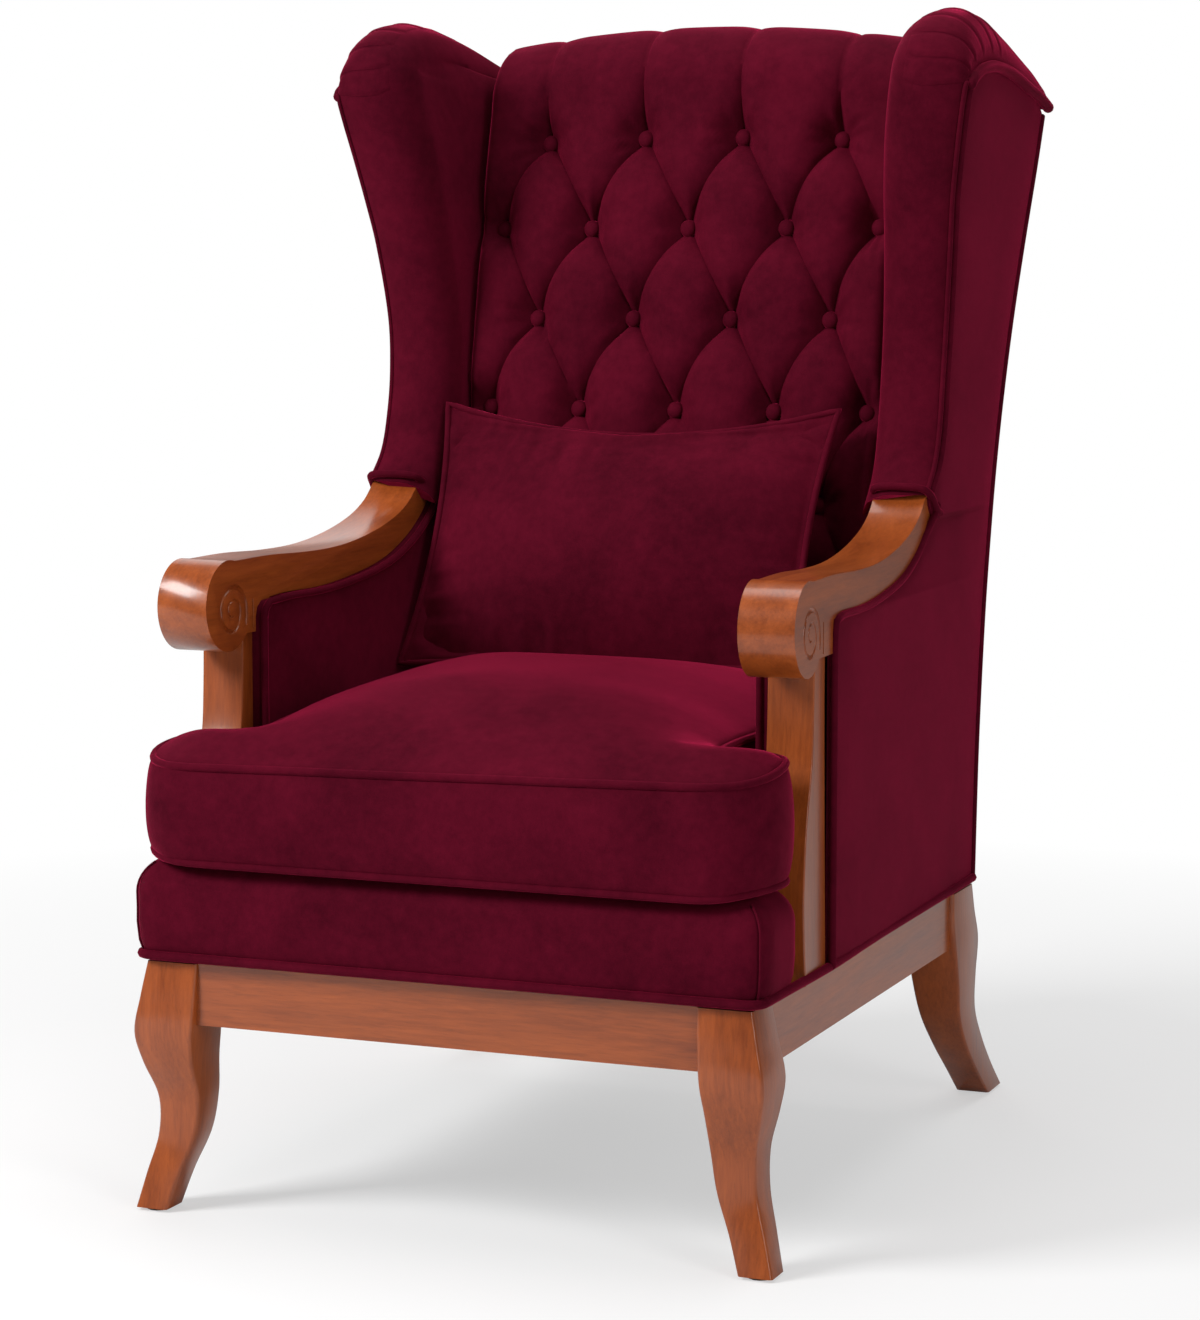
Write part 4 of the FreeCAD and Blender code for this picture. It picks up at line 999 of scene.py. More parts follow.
@dataclass
class TuftedBack:
    """Diamond tufting: folds run between the buttons, and the cloth swells between the folds."""

    half_width: float = 245.0
    first_z: float = 1053.0
    first_y: float = 683.0
    rake: float = 0.195
    row_step: float = 97.7
    rows: int = 7
    pitch: float = 112.5
    outer_x: float = 217.0
    crown: float = 34.5
    fold: float = 24.5
    bow: float = 4.0
    plane_end: float = 1095.0
    roll_length: float = 205.0
    foot: float = 352.0
    cells: int = 22
    fold_width: float = 43.0
    pleat_width: float = 34.0
    swell_power: float = 2.8
    crease_depth: float = 1.7
    button_rows: int = 6
    button_radius: float = 9.4
    button_rise: float = 7.0
    roll: Rows = (
        (0, 691.2, 1095), (25, 696, 1119), (45, 707, 1134), (68, 728, 1142), (98, 758, 1139),
        (135, 793, 1129),
        (180, 835, 1112), (205, 851, 1096),
    )

    def base(self, x: float, s: float) -> tuple[np.ndarray, np.ndarray]:
        """Return a point of the buttons' own surface (y, z) and its outward normal.

        Args:
            x: Distance from the middle.
            s: Height up to the plane's end, and the distance over the top roll beyond it.
        """
        if s <= self.plane_end:
            point = np.array((self.first_y + self.rake * (s - self.first_z), s))
            normal = np.array((-1.0, self.rake))
        else:
            over = s - self.plane_end
            point = np.array(smooth_at(self.roll, over))
            run = np.array(smooth_at(self.roll, over + 3)) - np.array(smooth_at(self.roll, over - 3))
            normal = np.array((-run[1], run[0]))
        normal = normal / np.linalg.norm(normal)
        ease = min(max((s - 1000) / 110, 0.0), 1.0)
        point[1] -= 20.0 * (x / self.half_width) ** 2 * ease * ease * (3 - 2 * ease)
        return point, normal

    def lattice(self) -> list[list[Flat]]:
        """Return the rows of buttons, top to bottom, as (x, z)."""
        rows = []
        for k in range(self.rows):
            z = self.first_z - self.row_step * k
            if k % 2 == 0:
                rows.append([(self.pitch * (n - 1.5), z) for n in range(4)])
            else:
                xs = (-self.outer_x, -self.pitch, 0.0, self.pitch, self.outer_x)
                rows.append([(x, z) for x in xs])
        return rows

    def neighbours(self, x: float, other: float) -> bool:
        """Say whether a fold joins two buttons of successive rows that stand at x and at another."""
        return abs(x - other) < self.pitch * 0.7

    def fold_line(self, a: tuple[float, float], b: tuple[float, float], steps: int) -> list[Flat]:
        """Return the bowed fold between two buttons, from the upper one to the lower one."""
        if a[1] < b[1]:
            a, b = b, a
        side = math.copysign(1.0, b[0] - a[0])
        middle = ((a[0] + b[0]) / 2 + side * self.bow * 2.0, (a[1] + b[1]) / 2 + self.bow * 0.9)
        line = []
        for k in range(steps + 1):
            t = k / steps
            line.append(tuple(
                (1 - t) ** 2 * p + 2 * t * (1 - t) * m + t * t * q for p, m, q in zip(a, middle, b)
            ))
        return line

    def folds(self) -> list[tuple[np.ndarray, np.ndarray, float]]:
        """Return every fold: its points, its floor's height along it and the width it draws in."""
        rows = self.lattice()
        found = []
        steps = 12
        along = np.linspace(0, 1, steps + 1)
        for upper, lower in zip(rows, rows[1:]):
            for a in upper:
                for b in lower:
                    if self.neighbours(a[0], b[0]):
                        line = np.array(self.fold_line(a, b, steps))
                        found.append((line, self.fold * np.sin(np.pi * along) ** 0.85, self.fold_width))
        for x, z in rows[0]:
            end = self.plane_end + self.roll_length
            line = np.array([(x * (1 + 0.02 * t), z + (end - z) * t) for t in along])
            rise = (self.crown - 2.4) * (1 - np.exp(-along * 9))
            found.append((line, rise, self.pleat_width))
        return found

    def heights(self, points: np.ndarray) -> np.ndarray:
        """Return how far the cloth stands out of the buttons' surface at each (x, s)."""
        weights = np.zeros(len(points))
        floors = np.zeros(len(points))
        crease = np.full(len(points), 1e9)
        for line, rise, width in self.folds():
            best = np.full(len(points), 1e9)
            floor = np.zeros(len(points))
            for k in range(len(line) - 1):
                run = line[k + 1] - line[k]
                t = np.clip(((points - line[k]) @ run) / (run @ run), 0, 1)
                away = np.linalg.norm(points - (line[k] + t[:, None] * run), axis=1)
                near = away < best
                best = np.where(near, away, best)
                floor = np.where(near, rise[k] + (rise[k + 1] - rise[k]) * t, floor)
            crease = np.minimum(crease, best)
            share = (np.maximum(best / width, 0.004)) ** -5
            weights += share
            floors += share * floor
        reach = weights ** (-1 / 5)
        floor = floors / weights
        swell = 1 - (1 - np.minimum(reach, 1)) ** self.swell_power
        height = floor + (self.crown - floor) * swell - self.crease_depth * np.exp(-(crease / 2.2) ** 2)
        buttons = np.array([place for row in self.lattice() for place in row])
        for n, place in enumerate(buttons):
            offset = points - place
            away = np.linalg.norm(offset, axis=1)
            angle = np.arctan2(offset[:, 1], offset[:, 0])
            fan = np.cos(angle * 9 + n) + 0.6 * np.cos(angle * 14 + 2.1 * n)
            height += np.where(away < 75, 1.2 * np.exp(-((away - 22) / 15) ** 2) * fan, 0)
            height *= 1 - 0.45 * np.exp(-(away / 19) ** 2)
        side = np.clip((np.abs(points[:, 0]) - (self.half_width - 20)) / 20, 0, 1)
        height = height * np.sqrt(np.maximum(1 - side ** 2, 0)) - 12 * side ** 3
        return height

    def patches(self) -> list[tuple[tuple, tuple, tuple, tuple]]:
        """Return the quilt's four-cornered patches as corners (kind, x, s), in order round each.

        A corner is of kind "b" at a button and "e" elsewhere. The number of rows is odd.
        """
        rows = self.lattice()
        half, low = self.half_width, self.foot
        top, end = self.plane_end + 30, self.plane_end + self.roll_length
        last = len(rows) - 1
        wide = [x for x, _ in rows[1]]
        narrow = [x for x, _ in rows[0]]
        heights = [row[0][1] for row in rows]

        def button(x: float, k: int) -> tuple:
            return ("b", x, heights[k])

        quads = []
        for k in range(last - 1):
            tops, sides = (narrow, wide) if k % 2 == 0 else (wide[1:-1], narrow)
            for n, x in enumerate(tops):
                across = button(sides[n], k + 1), button(sides[n + 1], k + 1)
                quads.append((button(x, k), across[0], button(x, k + 2), across[1]))
        for row, outside, rim in ((1, 0, top), (last - 1, last, low)):
            for n, x in enumerate(wide[1:-1]):
                for a in (narrow[n], narrow[n + 1]):
                    quads.append((button(x, row), button(a, outside), ("e", a, rim), ("e", x, rim)))
        for sign in (-1, 1):
            first, outer, edge = sign * max(narrow), sign * max(wide), sign * half
            lowest, beside = button(outer, last - 1), ("e", edge, heights[last - 1])
            quads.append((button(first, 0), ("e", edge, heights[0]), ("e", edge, top), ("e", first, top)))
            quads.append((lowest, button(first, last), ("e", first, low), ("e", outer, low)))
            quads.append((lowest, ("e", outer, low), ("e", edge, low), beside))
            for k in range(last - 1):
                here, below = (first, outer) if k % 2 == 0 else (outer, first)
                ends = ("e", edge, heights[k + 1]), ("e", edge, heights[k])
                quads.append((button(here, k), button(below, k + 1), *ends))
        columns = sorted(set([-half, half] + narrow + wide[1:-1]))
        for a, b in zip(columns, columns[1:]):
            quads.append((("e", a, top), ("e", b, top), ("e", b, end), ("e", a, end)))
        return quads

    def edge(self, a: tuple, b: tuple) -> np.ndarray:
        """Return evenly numbered points from one patch corner to another, bowed along a fold."""
        steps = self.cells
        if a[0] == "b" and b[0] == "b" and self.neighbours(a[1], b[1]):
            line = self.fold_line(a[1:], b[1:], steps)
            return np.array(line if a[2] >= b[2] else line[::-1])
        return np.array([(a[1] + (b[1] - a[1]) * k / steps, a[2] + (b[2] - a[2]) * k / steps)
                         for k in range(steps + 1)])

    def plan(self) -> list[np.ndarray]:
        """Return each patch's grid of (x, s)."""
        grids = []
        steps = self.cells
        for a, b, c, d in self.patches():
            left, bottom, right, top = self.edge(a, b), self.edge(b, c), self.edge(d, c), self.edge(a, d)
            grid = np.zeros((steps + 1, steps + 1, 2))
            for i in range(steps + 1):
                u = i / steps
                for j in range(steps + 1):
                    v = j / steps
                    flat = ((1 - u) * (1 - v) * left[0] + (1 - u) * v * top[-1] + u * (1 - v) * left[-1]
                            + u * v * right[-1])
                    grid[i, j] = (1 - v) * left[i] + v * right[i] + (1 - u) * top[j] + u * bottom[j] - flat
            grids.append(grid)
        return grids

    def build(self) -> list[Piece]:
        """Make and dress the quilted back with its top roll, and its buttons."""
        steps = self.cells
        sheets = []
        for grid in self.plan():
            flat = grid.reshape(-1, 2)
            height = self.heights(flat)
            places = []
            for (x, s), rise in zip(flat, height):
                (y, z), normal = self.base(x, s)
                places.append(spot(x, y + normal[0] * rise, z + normal[1] * rise))

            def place(u: float, v: float, places: list = places) -> Vector:
                return places[round(u * steps) * (steps + 1) + round(v * steps)]
            sheets.append(Bench.grid("patch", steps, steps, place))
        quilt = Bench.join("tufted_cover", sheets)
        Bench.face_outwards(quilt, 0.0004)
        self.close(quilt)
        Bench.soft_shade(quilt, 75)
        FINISHES.dress(quilt, VELVET)
        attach(quilt, "root")
        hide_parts("tufted_back", "crest_roll")
        return [quilt, self.buttons()]

    def close(self, quilt: Piece) -> None:
        """Close the quilt's open rim: extrude it back and fill it."""
        Bench.only(quilt)
        bpy.ops.object.mode_set(mode="EDIT")
        bpy.ops.mesh.select_mode(type="EDGE")
        bpy.ops.mesh.select_all(action="DESELECT")
        bpy.ops.mesh.select_non_manifold()
        bpy.ops.mesh.extrude_region_move()
        mesh = bmesh.from_edit_mesh(quilt.data)
        for corner in mesh.verts:
            if corner.select:
                _, y, z = corner.co
                height = z * 1000
                back = spot(0, self.first_y + 60 + self.rake * (height - self.first_z), 0).y
                corner.co.y = max(back, y) if height < 1085 else max(y, spot(0, 800, 0).y)
                corner.co.z = min(z, 1.088)
        bmesh.update_edit_mesh(quilt.data)
        bpy.ops.mesh.edge_face_add()
        bpy.ops.mesh.select_all(action="SELECT")
        bpy.ops.mesh.normals_make_consistent(inside=False)
        bpy.ops.object.mode_set(mode="OBJECT")

    def buttons(self) -> Piece:
        """Return the covered buttons, each a low dome with a rolled rim."""
        pieces = []
        tilt = Euler((math.pi / 2 - math.atan(self.rake), 0, 0)).to_matrix().to_4x4()
        radius = self.button_radius / 1000
        for row in self.lattice()[:self.button_rows]:
            for x, z in row:
                Bench.deselect()
                bpy.ops.mesh.primitive_uv_sphere_add(segments=24, ring_count=14, radius=radius)
                button = bpy.context.active_object
                for corner in button.data.vertices:
                    out = corner.co.z
                    corner.co.z = out * (0.66 if out > 0 else 0.5)
                (y, height), normal = self.base(x, z)
                centre = spot(x, y + normal[0] * self.button_rise, height + normal[1] * self.button_rise)
                button.data.transform(Matrix.Translation(centre) @ tilt)
                pieces.append(button)
        piece = Bench.join("back_buttons", pieces)
        Bench.soft_shade(piece)
        FINISHES.dress(piece, VELVET)
        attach(piece, "root")
        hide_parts("tuft_buttons")
        return piece


def inflate(piece: Piece, pinned: Callable[[Vector], float], pressure: float, cap: float,
            frames: int = 20, shrink: float = 0.0) -> None:
    """Let a closed cover swell as cloth does, then keep the result.

    Args:
        piece: The closed cover.
        pinned: Gives how firmly a place is held, from 0 to 1.
        pressure: The air pressure inside.
        cap: The farthest that a point may move, in metres.
        frames: How many frames to run.
        shrink: How much smaller the cloth is cut than it starts.
    """
    Bench.only(piece)
    start = [corner.co.copy() for corner in piece.data.vertices]
    group = piece.vertex_groups.new(name="held")
    for corner in piece.data.vertices:
        group.add([corner.index], pinned(corner.co), "REPLACE")
    modifier = piece.modifiers.new("cloth", "CLOTH")
    cloth = modifier.settings
    cloth.quality = 6
    cloth.mass = 0.3
    cloth.tension_stiffness = 22
    cloth.compression_stiffness = 22
    cloth.shear_stiffness = 8
    cloth.bending_stiffness = 1.2
    cloth.vertex_group_mass = "held"
    cloth.use_pressure = True
    cloth.uniform_pressure_force = pressure
    cloth.shrink_min = shrink
    cloth.effector_weights.gravity = 0
    modifier.point_cache.frame_start = 1
    modifier.point_cache.frame_end = frames
    scene = bpy.context.scene
    for step in range(1, frames + 1):
        scene.frame_set(step)
    bpy.ops.object.modifier_apply(modifier=modifier.name)
    scene.frame_set(1)
    for corner, origin in zip(piece.data.vertices, start):
        move = corner.co - origin
        if move.length > cap:
            corner.co = origin + move.normalized() * cap
    piece.vertex_groups.clear()


@dataclass
class SeatCushion:
    """The loose T-shaped cushion: crowned top, bulging border and piped seams."""

    ear: float = 322.0
    stem: float = 243.0
    front: float = -16.0
    ear_back: float = 99.0
    back: float = 506.0
    top_seam: Rows = ((-16, 450), (10, 453), (52, 460), (103, 467), (180, 472), (508, 475))
    tilt: float = 6.0
    crown: float = 52.0
    voxel: float = 7.0
    # The border's profile: the share of the way up to the top seam, and how far in the outline is drawn
    border: Rows = (
        (0, 26), (0.0, 6), (0.03, 1.5), (0.15, -1.5), (0.35, -4), (0.6, -4), (0.83, -1.5), (0.97, 1.5),
    )

    def foot(self, y: float) -> float:
        """Return the underside's height at a depth, drooping over the deck's nose."""
        return 353.0 - (9.0 * ((32 - y) / 50) ** 2 if y < 32 else 0.0)

    def seam(self, x: float, y: float) -> float:
        """Return the top seam's height, a little lower on the ear that the light comes from."""
        return smooth_at(self.top_seam, y)[0] + self.tilt * x / self.ear * min(max((200 - y) / 90, 0.0), 1.0)

    def plan(self, inset: float) -> np.ndarray:
        """Return the cushion's plan, drawn in by an inset."""
        return tee_plan(self.ear, self.stem, self.front, self.ear_back, self.back, inset)

    def swell(self, points: np.ndarray) -> np.ndarray:
        """Return the crown's height above the seam at each plan point."""
        away = edge_distance(points, self.plan(0.0))
        bell = 1 - (1 - np.clip(away / 235, 0, 1)) ** 2.4
        lean = np.interp(points[:, 1], (-16, 60, 160, 300, 420, 510), (0.60, 0.80, 0.98, 1.06, 1.0, 0.8))
        return self.crown * bell * lean

    def build(self) -> list[Piece]:
        """Make and dress the cushion and its piping."""
        rings = []
        for t, inset in self.border:
            ring = []
            for x, y in self.plan(inset):
                low, high = self.foot(y), self.seam(x, y)
                ring.append(spot(x, y, low + (high - low) * t))
            rings.append(ring)
        for inset in (5, 14, 26):
            plan = self.plan(inset)
            rise = self.swell(plan)
            rings.append([spot(x, y, self.seam(x, y) + lift) for (x, y), lift in zip(plan, rise)])
        cover = Bench.stack("seat_cushion_cloth", rings)
        size = self.voxel / 1000 * 1.0
        Bench.apply(cover, "REMESH", mode="VOXEL", voxel_size=size)
        plan = np.array([(c.co.x * 1000, c.co.y * 1000 + FRONT_TO_CENTRE) for c in cover.data.vertices])
        rise = self.swell(plan)
        inside = edge_distance(plan, self.plan(0.0))
        for corner, (x, y), lift, away in zip(cover.data.vertices, plan, rise, inside):
            if away > 16 and corner.co.z * 1000 > self.foot(y) + 45:
                corner.co.z = (self.seam(x, y) + lift) / 1000
        Bench.apply(cover, "CORRECTIVE_SMOOTH", iterations=4, use_only_smooth=True)

        def held(place: Vector) -> float:
            y = place.y * 1000 + FRONT_TO_CENTRE
            z = place.z * 1000
            near = min(abs(z - self.seam(place.x * 1000, y)), abs(z - self.foot(y)))
            return 1.0 if near < 5 or z < self.foot(y) + 3 else 0.12
        inflate(cover, held, 3.2, 0.009)
        Bench.apply(cover, "SUBSURF", levels=1, render_levels=1)
        Bench.soft_shade(cover)
        FINISHES.dress(cover, VELVET)
        runs = []
        for at_top in (True, False):
            line = [spot(x, y, self.seam(x, y) if at_top else self.foot(y) + 3) for x, y in self.plan(0.5)]
            runs.append((Bench.hug(line, cover, 0.0008), 0.0040, True))
        welts = Bench.piping("seat_cushion_piping", runs)
        FINISHES.dress(welts, VELVET)
        for piece in (cover, welts):
            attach(piece, "seat_cushion")
        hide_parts("seat_cushion_cover", "seat_cushion_foam")
        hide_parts("seat_cushion_welts")
        return [cover, welts]


@dataclass
class Pillow:
    """The loose pillow: two flat panels sewn together, filled and leaned against the back."""

    half_width: float = 224.0
    half_height: float = 150.0
    thickness: float = 110.0
    waist: float = 33.0
    foot_waist: float = 11.0
    end_waist: float = 14.0
    lean: float = 25.0
    centre: Point = (-20.5, 500.5, 630.5)
    cells: tuple[int, int] = (84, 56)

    def panel(self, u: float, v: float, turn: int) -> Vector:
        """Return a point of one face before it is filled out, upright about the origin."""
        a, b = 2 * u - 1, 2 * v - 1
        x = a * (self.half_width - self.end_waist * (1 - b * b) * a * a)
        waist = self.waist if b > 0 else self.foot_waist
        z = b * (self.half_height - waist * (1 - a * a) * b * b)
        dome = (1 - a ** 4) * (1 - b ** 4)
        y = turn * self.thickness / 2 * (0.15 * dome ** 0.8 + 0.85 * (1 - a * a) ** 0.8 * (1 - b * b)) * 0.96
        return Vector((x, y, z)) / 1000

    def wrinkle(self, place: Vector, near: float) -> float:
        """Return the depth of the gathers that run in from the seam, in millimetres."""
        x, z = place.x * 1000, place.z * 1000
        fade = math.exp(-((near - 26) / 24) ** 2)
        along = x * 0.16 if abs(z) / self.half_height > abs(x) / self.half_width else z * 0.18
        waves = math.sin(along + 1.3 * math.sin(x * 0.021 + 1)) + 0.6 * math.sin(along * 2.3 + z * 0.02)
        patch = 0.5 + 0.5 * math.sin(x * 0.017 + z * 0.031 + 0.8)
        return 1.5 * fade * waves * patch

    def build(self) -> list[Piece]:
        """Make and dress the pillow and its piping."""
        across, along = self.cells
        faces = []
        for turn in (-1, 1):
            faces.append(Bench.grid("panel", across, along, lambda u, v, turn=turn: self.panel(u, v, turn)))
        cover = Bench.join("pillow_cloth", faces)
        Bench.face_outwards(cover, 0.0002)

        def rim(place: Vector) -> float:
            a = min(abs(place.x) * 1000 / self.half_width, 1.0)
            b = min(abs(place.z) * 1000 / self.half_height, 1.0)
            side = self.half_width - self.end_waist * (1 - b * b) - abs(place.x) * 1000
            waist = self.waist if place.z > 0 else self.foot_waist
            end = self.half_height - waist * (1 - a * a) - abs(place.z) * 1000
            return min(side, end)
        inflate(cover, lambda place: 1.0 if rim(place) < 1.5 else 0.05, 4.0, 0.006)
        normals = [corner.normal.copy() for corner in cover.data.vertices]
        for corner, normal in zip(cover.data.vertices, normals):
            near = rim(corner.co)
            if near > 1.5:
                corner.co += normal * self.wrinkle(corner.co, near) / 1000
        Bench.apply(cover, "SUBSURF", levels=1, render_levels=1)
        line = []
        for k in range(200):
            t = k / 50
            edge, run = int(t), 2 * (t - int(t)) - 1
            a, b = ((run, -1), (1, run), (-run, 1), (-1, -run))[edge]
            line.append(self.panel((a + 1) / 2, (b + 1) / 2, 0))
        welt = Bench.piping("pillow_piping", [(line, 0.0036, True)])
        turn = Matrix.Rotation(math.radians(-self.lean), 4, "X")
        for piece in (cover, welt):
            piece.data.transform(Matrix.Translation(spot(*self.centre)) @ turn)
            Bench.face_outwards(piece)
            Bench.soft_shade(piece)
            FINISHES.dress(piece, VELVET)
            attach(piece, "pillow")
        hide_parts("pillow_cover", "pillow_filling")
        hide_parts("pillow_welt")
        return [cover, welt]


@dataclass
class Deck:
    """The upholstered platform under the cushion, with a rolled front and a piped foot."""

    ear: float = 324.0
    stem: float = 246.0
    front: float = -8.0
    ear_back: float = 108.0
    back: float = 600.0
    top: float = 352.0
    foot: float = 254.6
    roll: float = 34.0

    def build(self) -> list[Piece]:
        """Make and dress the deck and the piping round the chair's foot."""
        levels = [(self.foot, 6.0), (self.foot + 5, 4.5), (self.foot + 16, 1.5), (self.foot + 34, 0.0),
                  (self.foot + 50, 0.2)]
        for angle in range(0, 91, 9):
            turn = math.radians(angle)
            rise, draw = self.roll * math.sin(turn), self.roll * (1 - math.cos(turn))
            levels.append((self.top - self.roll + rise, draw))
        rings = []
        for z, inset in levels:
            plan = tee_plan(self.ear, self.stem, self.front, self.ear_back, self.back, inset)
            rings.append([spot(x, y, z) for x, y in self.square(plan, inset)])
        cover = Bench.stack("deck_cloth", rings)
        Bench.soft_shade(cover, 60)
        FINISHES.dress(cover, VELVET)
        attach(cover, "root")
        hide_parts("deck_cover", "deck_foam")
        foot = []
        corners = (-319, -5, 16), (319, -5, 16), (315, 706, 6), (-315, 706, 6)
        plan = plan_outline(corners, 6, (20, 24, 20, 24))
        for x, y in plan:
            bulge = 3.5 * math.exp(-((y - 190) / 110) ** 2)
            foot.append(spot(x + math.copysign(bulge, x) if 20 < y < 690 else x, y, 257.0))
        runs = [(foot, 0.0046, True)]
        for sign in (-1, 1):
            seam = []
            for z, inset in levels[:12]:
                draw = inset + (NOSE_RADIUS - inset) * 0.094
                seam.append(spot(sign * (self.ear - draw), self.front + draw, z))
            runs.append((seam, 0.0011, False))
        welts = Bench.piping("base_welts", runs)
        FINISHES.dress(welts, VELVET)
        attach(welts, "root")
        return [cover, welts]

    def square(self, plan: np.ndarray, inset: float) -> np.ndarray:
        """Draw the plan's wide front corners out to the deck's tighter ones."""
        squared = plan.copy()
        nose = max(NOSE_RADIUS - inset, 8.0)
        for sign in (-1, 1):
            cx, cy = sign * (self.ear - inset - nose), self.front + inset + nose
            for k, (x, y) in enumerate(plan):
                if (x - cx) * sign > -1e-6 and y < cy + 1e-6:
                    dx, dy = (x - cx) * sign / nose, (cy - y) / nose
                    size = max(dx, dy, 1e-6)
                    power = (dx ** 7 + dy ** 7) ** (1 / 7)
                    squared[k] = (cx + sign * dx / power * nose, cy - dy / power * nose)
        return squared


@dataclass
class ArmPads:
    """Padding inside each arm, piped at the front and under the arm."""

    face: float = -38.0
    back: float = 612.0
    belly: Rows = Arms.belly
    # The rounded edge: the distance from the face, and how far in the outline is drawn
    edge: Rows = ((15.2, 0), (8, 0), (3.5, 0.8), (1, 3.0), (0, 7.0))

    def outline(self, inset: float) -> list[Flat]:
        """Return the pad's outline (y, z), drawn in at the front and top by an inset."""
        points = [
            (157 + inset, 256), (157 + inset, 470), (157 + inset, 571 - inset), (160 + inset, 580 - inset),
            (168 + inset, 586 - inset),
        ]
        for y, z in smooth_path(self.belly[1:], 3):
            points.append((y + inset * 0.3, z - 1.5 - inset))
        points += [(580, 704 - inset), (self.back, 704 - inset), (self.back, 256)]
        return points

    def build(self, arms: Arms) -> list[Piece]:
        """Make and dress both pads and their piping."""
        rings = []
        for rise, inset in self.edge:
            rings.append([spot(self.face + rise, y, z) for y, z in self.outline(inset)])
        pad = Bench.stack("arm_pad_cloth_right", rings)
        line = [spot(self.face + 1.5, y, z) for y, z in self.outline(1.0)[:-2]]
        welt = Bench.piping("arm_pad_welt_right", [(line, 0.0038, False)])
        pieces = []
        for stem, right in (("arm_pad_cloth", pad), ("arm_pad_welt", welt)):
            arms.toe(right)
            Bench.soft_shade(right, 50)
            for side, piece in Bench.pair(right, stem):
                FINISHES.dress(piece, VELVET)
                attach(piece, "root")
                if stem == "arm_pad_cloth":
                    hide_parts("inner_arm_pad_" + side.word)
                pieces.append(piece)
        return pieces


@dataclass
class OuterPanels:
    """The smooth outer sides and back, slightly full, with piped edges."""

    shape: WingShape = field(default_factory=WingShape)
    belly: Rows = Arms.belly
    columns: int = 12
    behind_arm: Rows = ((588, 187), (591, 290), (597, 363), (608, 430), (626, 481), (646, 516), (660, 534))

    @staticmethod
    def under_arm_x(y: float) -> float:
        """Return how far out the panel stands under the arm, which toes out to the front."""
        return 312.8 + max(0.0, 518 - y) * 0.0314

    def front_edge(self, z: float) -> Flat:
        """Return (x, y) of a side panel's front edge at a height."""
        if z < 588:
            return 323.4, 186.0
        if z < 660:
            y = level_at(self.behind_arm, z)
            return self.under_arm_x(y), y
        return tuple(smooth_at(self.shape.front, z))

    def top_limit(self, y: float) -> float:
        """Return the highest the side panel reaches at a depth."""
        return level_at(self.shape.panel_top, y)

    def build(self) -> list[Piece]:
        """Make and dress the side panels, the back panel and their piping."""
        heights = sorted(set([254.6, 262, 300, 360, 420, 480, 540, 575, 584, 587] + list(range(588, 662, 3))
                             + list(range(662, 1092, 12)) + [1096, 1101, 1106, 1110, 1114, 1118, 1121]))
        rings = []
        for z in heights:
            front_x, front_y = self.front_edge(min(z, 1100))
            back_x, back_y = smooth_at(self.shape.back_edge, z)
            if z > 1087:
                ys = [y for y in np.linspace(521, 872, 400) if self.top_limit(y) >= z]
                if ys:
                    front_y, back_y = max(front_y, min(ys)), min(back_y, max(ys))
            outer = []
            for k in range(self.columns + 1):
                u = k / self.columns
                edge = min(u, 1 - u) * (back_y - front_y)
                full = 2.2 * (1 - math.exp(-edge / 16)) * min(1.0, (z - 250) / 20)
                x = front_x + (back_x - front_x) * u + full - 1.2
                outer.append((x, front_y + (back_y - front_y) * u))
            ring = [spot(x, y, z) for x, y in outer]
            ring += [spot(x - 5, y, z) for x, y in reversed(outer)]
            rings.append(ring)
        right = Bench.stack("outer_side_cloth_right", rings)
        Bench.soft_shade(right, 50)
        left = Bench.mirrored(right, "outer_side_cloth_left")
        Bench.soft_shade(left, 50)
        rings = []
        for z in [254.6, 262] + list(range(275, 1106, 15)) + [1106]:
            x, y = smooth_at(self.shape.back_edge, z)
            outer = []
            for k in range(self.columns + 1):
                u = 2 * k / self.columns - 1
                outer.append((x * u * 0.988, y - 1.5 + 2.2 * (1 - u ** 6)))
            rings.append([spot(*p, z) for p in outer] + [spot(px, py - 5, z) for px, py in reversed(outer)])
        back = Bench.stack("outer_back_cloth", rings)
        Bench.soft_shade(back, 50)
        welts = self.welts()
        for piece, node in ((right, "outer_side_panel_right"), (left, "outer_side_panel_left"),
                            (back, "outer_back_panel")):
            FINISHES.dress(piece, VELVET)
            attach(piece, "root")
            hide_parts(node)
        FINISHES.dress(welts, VELVET)
        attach(welts, "root")
        return [right, left, back, welts]

    def welts(self) -> Piece:
        """Return the piping of the outer panels."""
        runs = []
        for sign in (-1, 1):
            front = [(323.8, 187, z) for z in (258, 320, 400, 480, 560, 576)]
            front += [(324.4, 188.5, 584), (324.3, 196, 588)]
            for y, z in smooth_path(self.belly[1:7], 4):
                front.append((self.under_arm_x(y) + 1.0, y, z))
            front += [(316.5, 533, 660), (317, 545, 671)]
            runs.append(([spot(sign * x, y, z) for x, y, z in front], 0.0040, False))
            rear = []
            for z in range(260, 1092, 13):
                x, y = smooth_at(self.shape.back_edge, z)
                rear.append(spot(sign * (x - 0.5), y - 0.5, z))
            runs.append((rear, 0.0032, False))
        return Bench.piping("outer_panel_welts", runs)


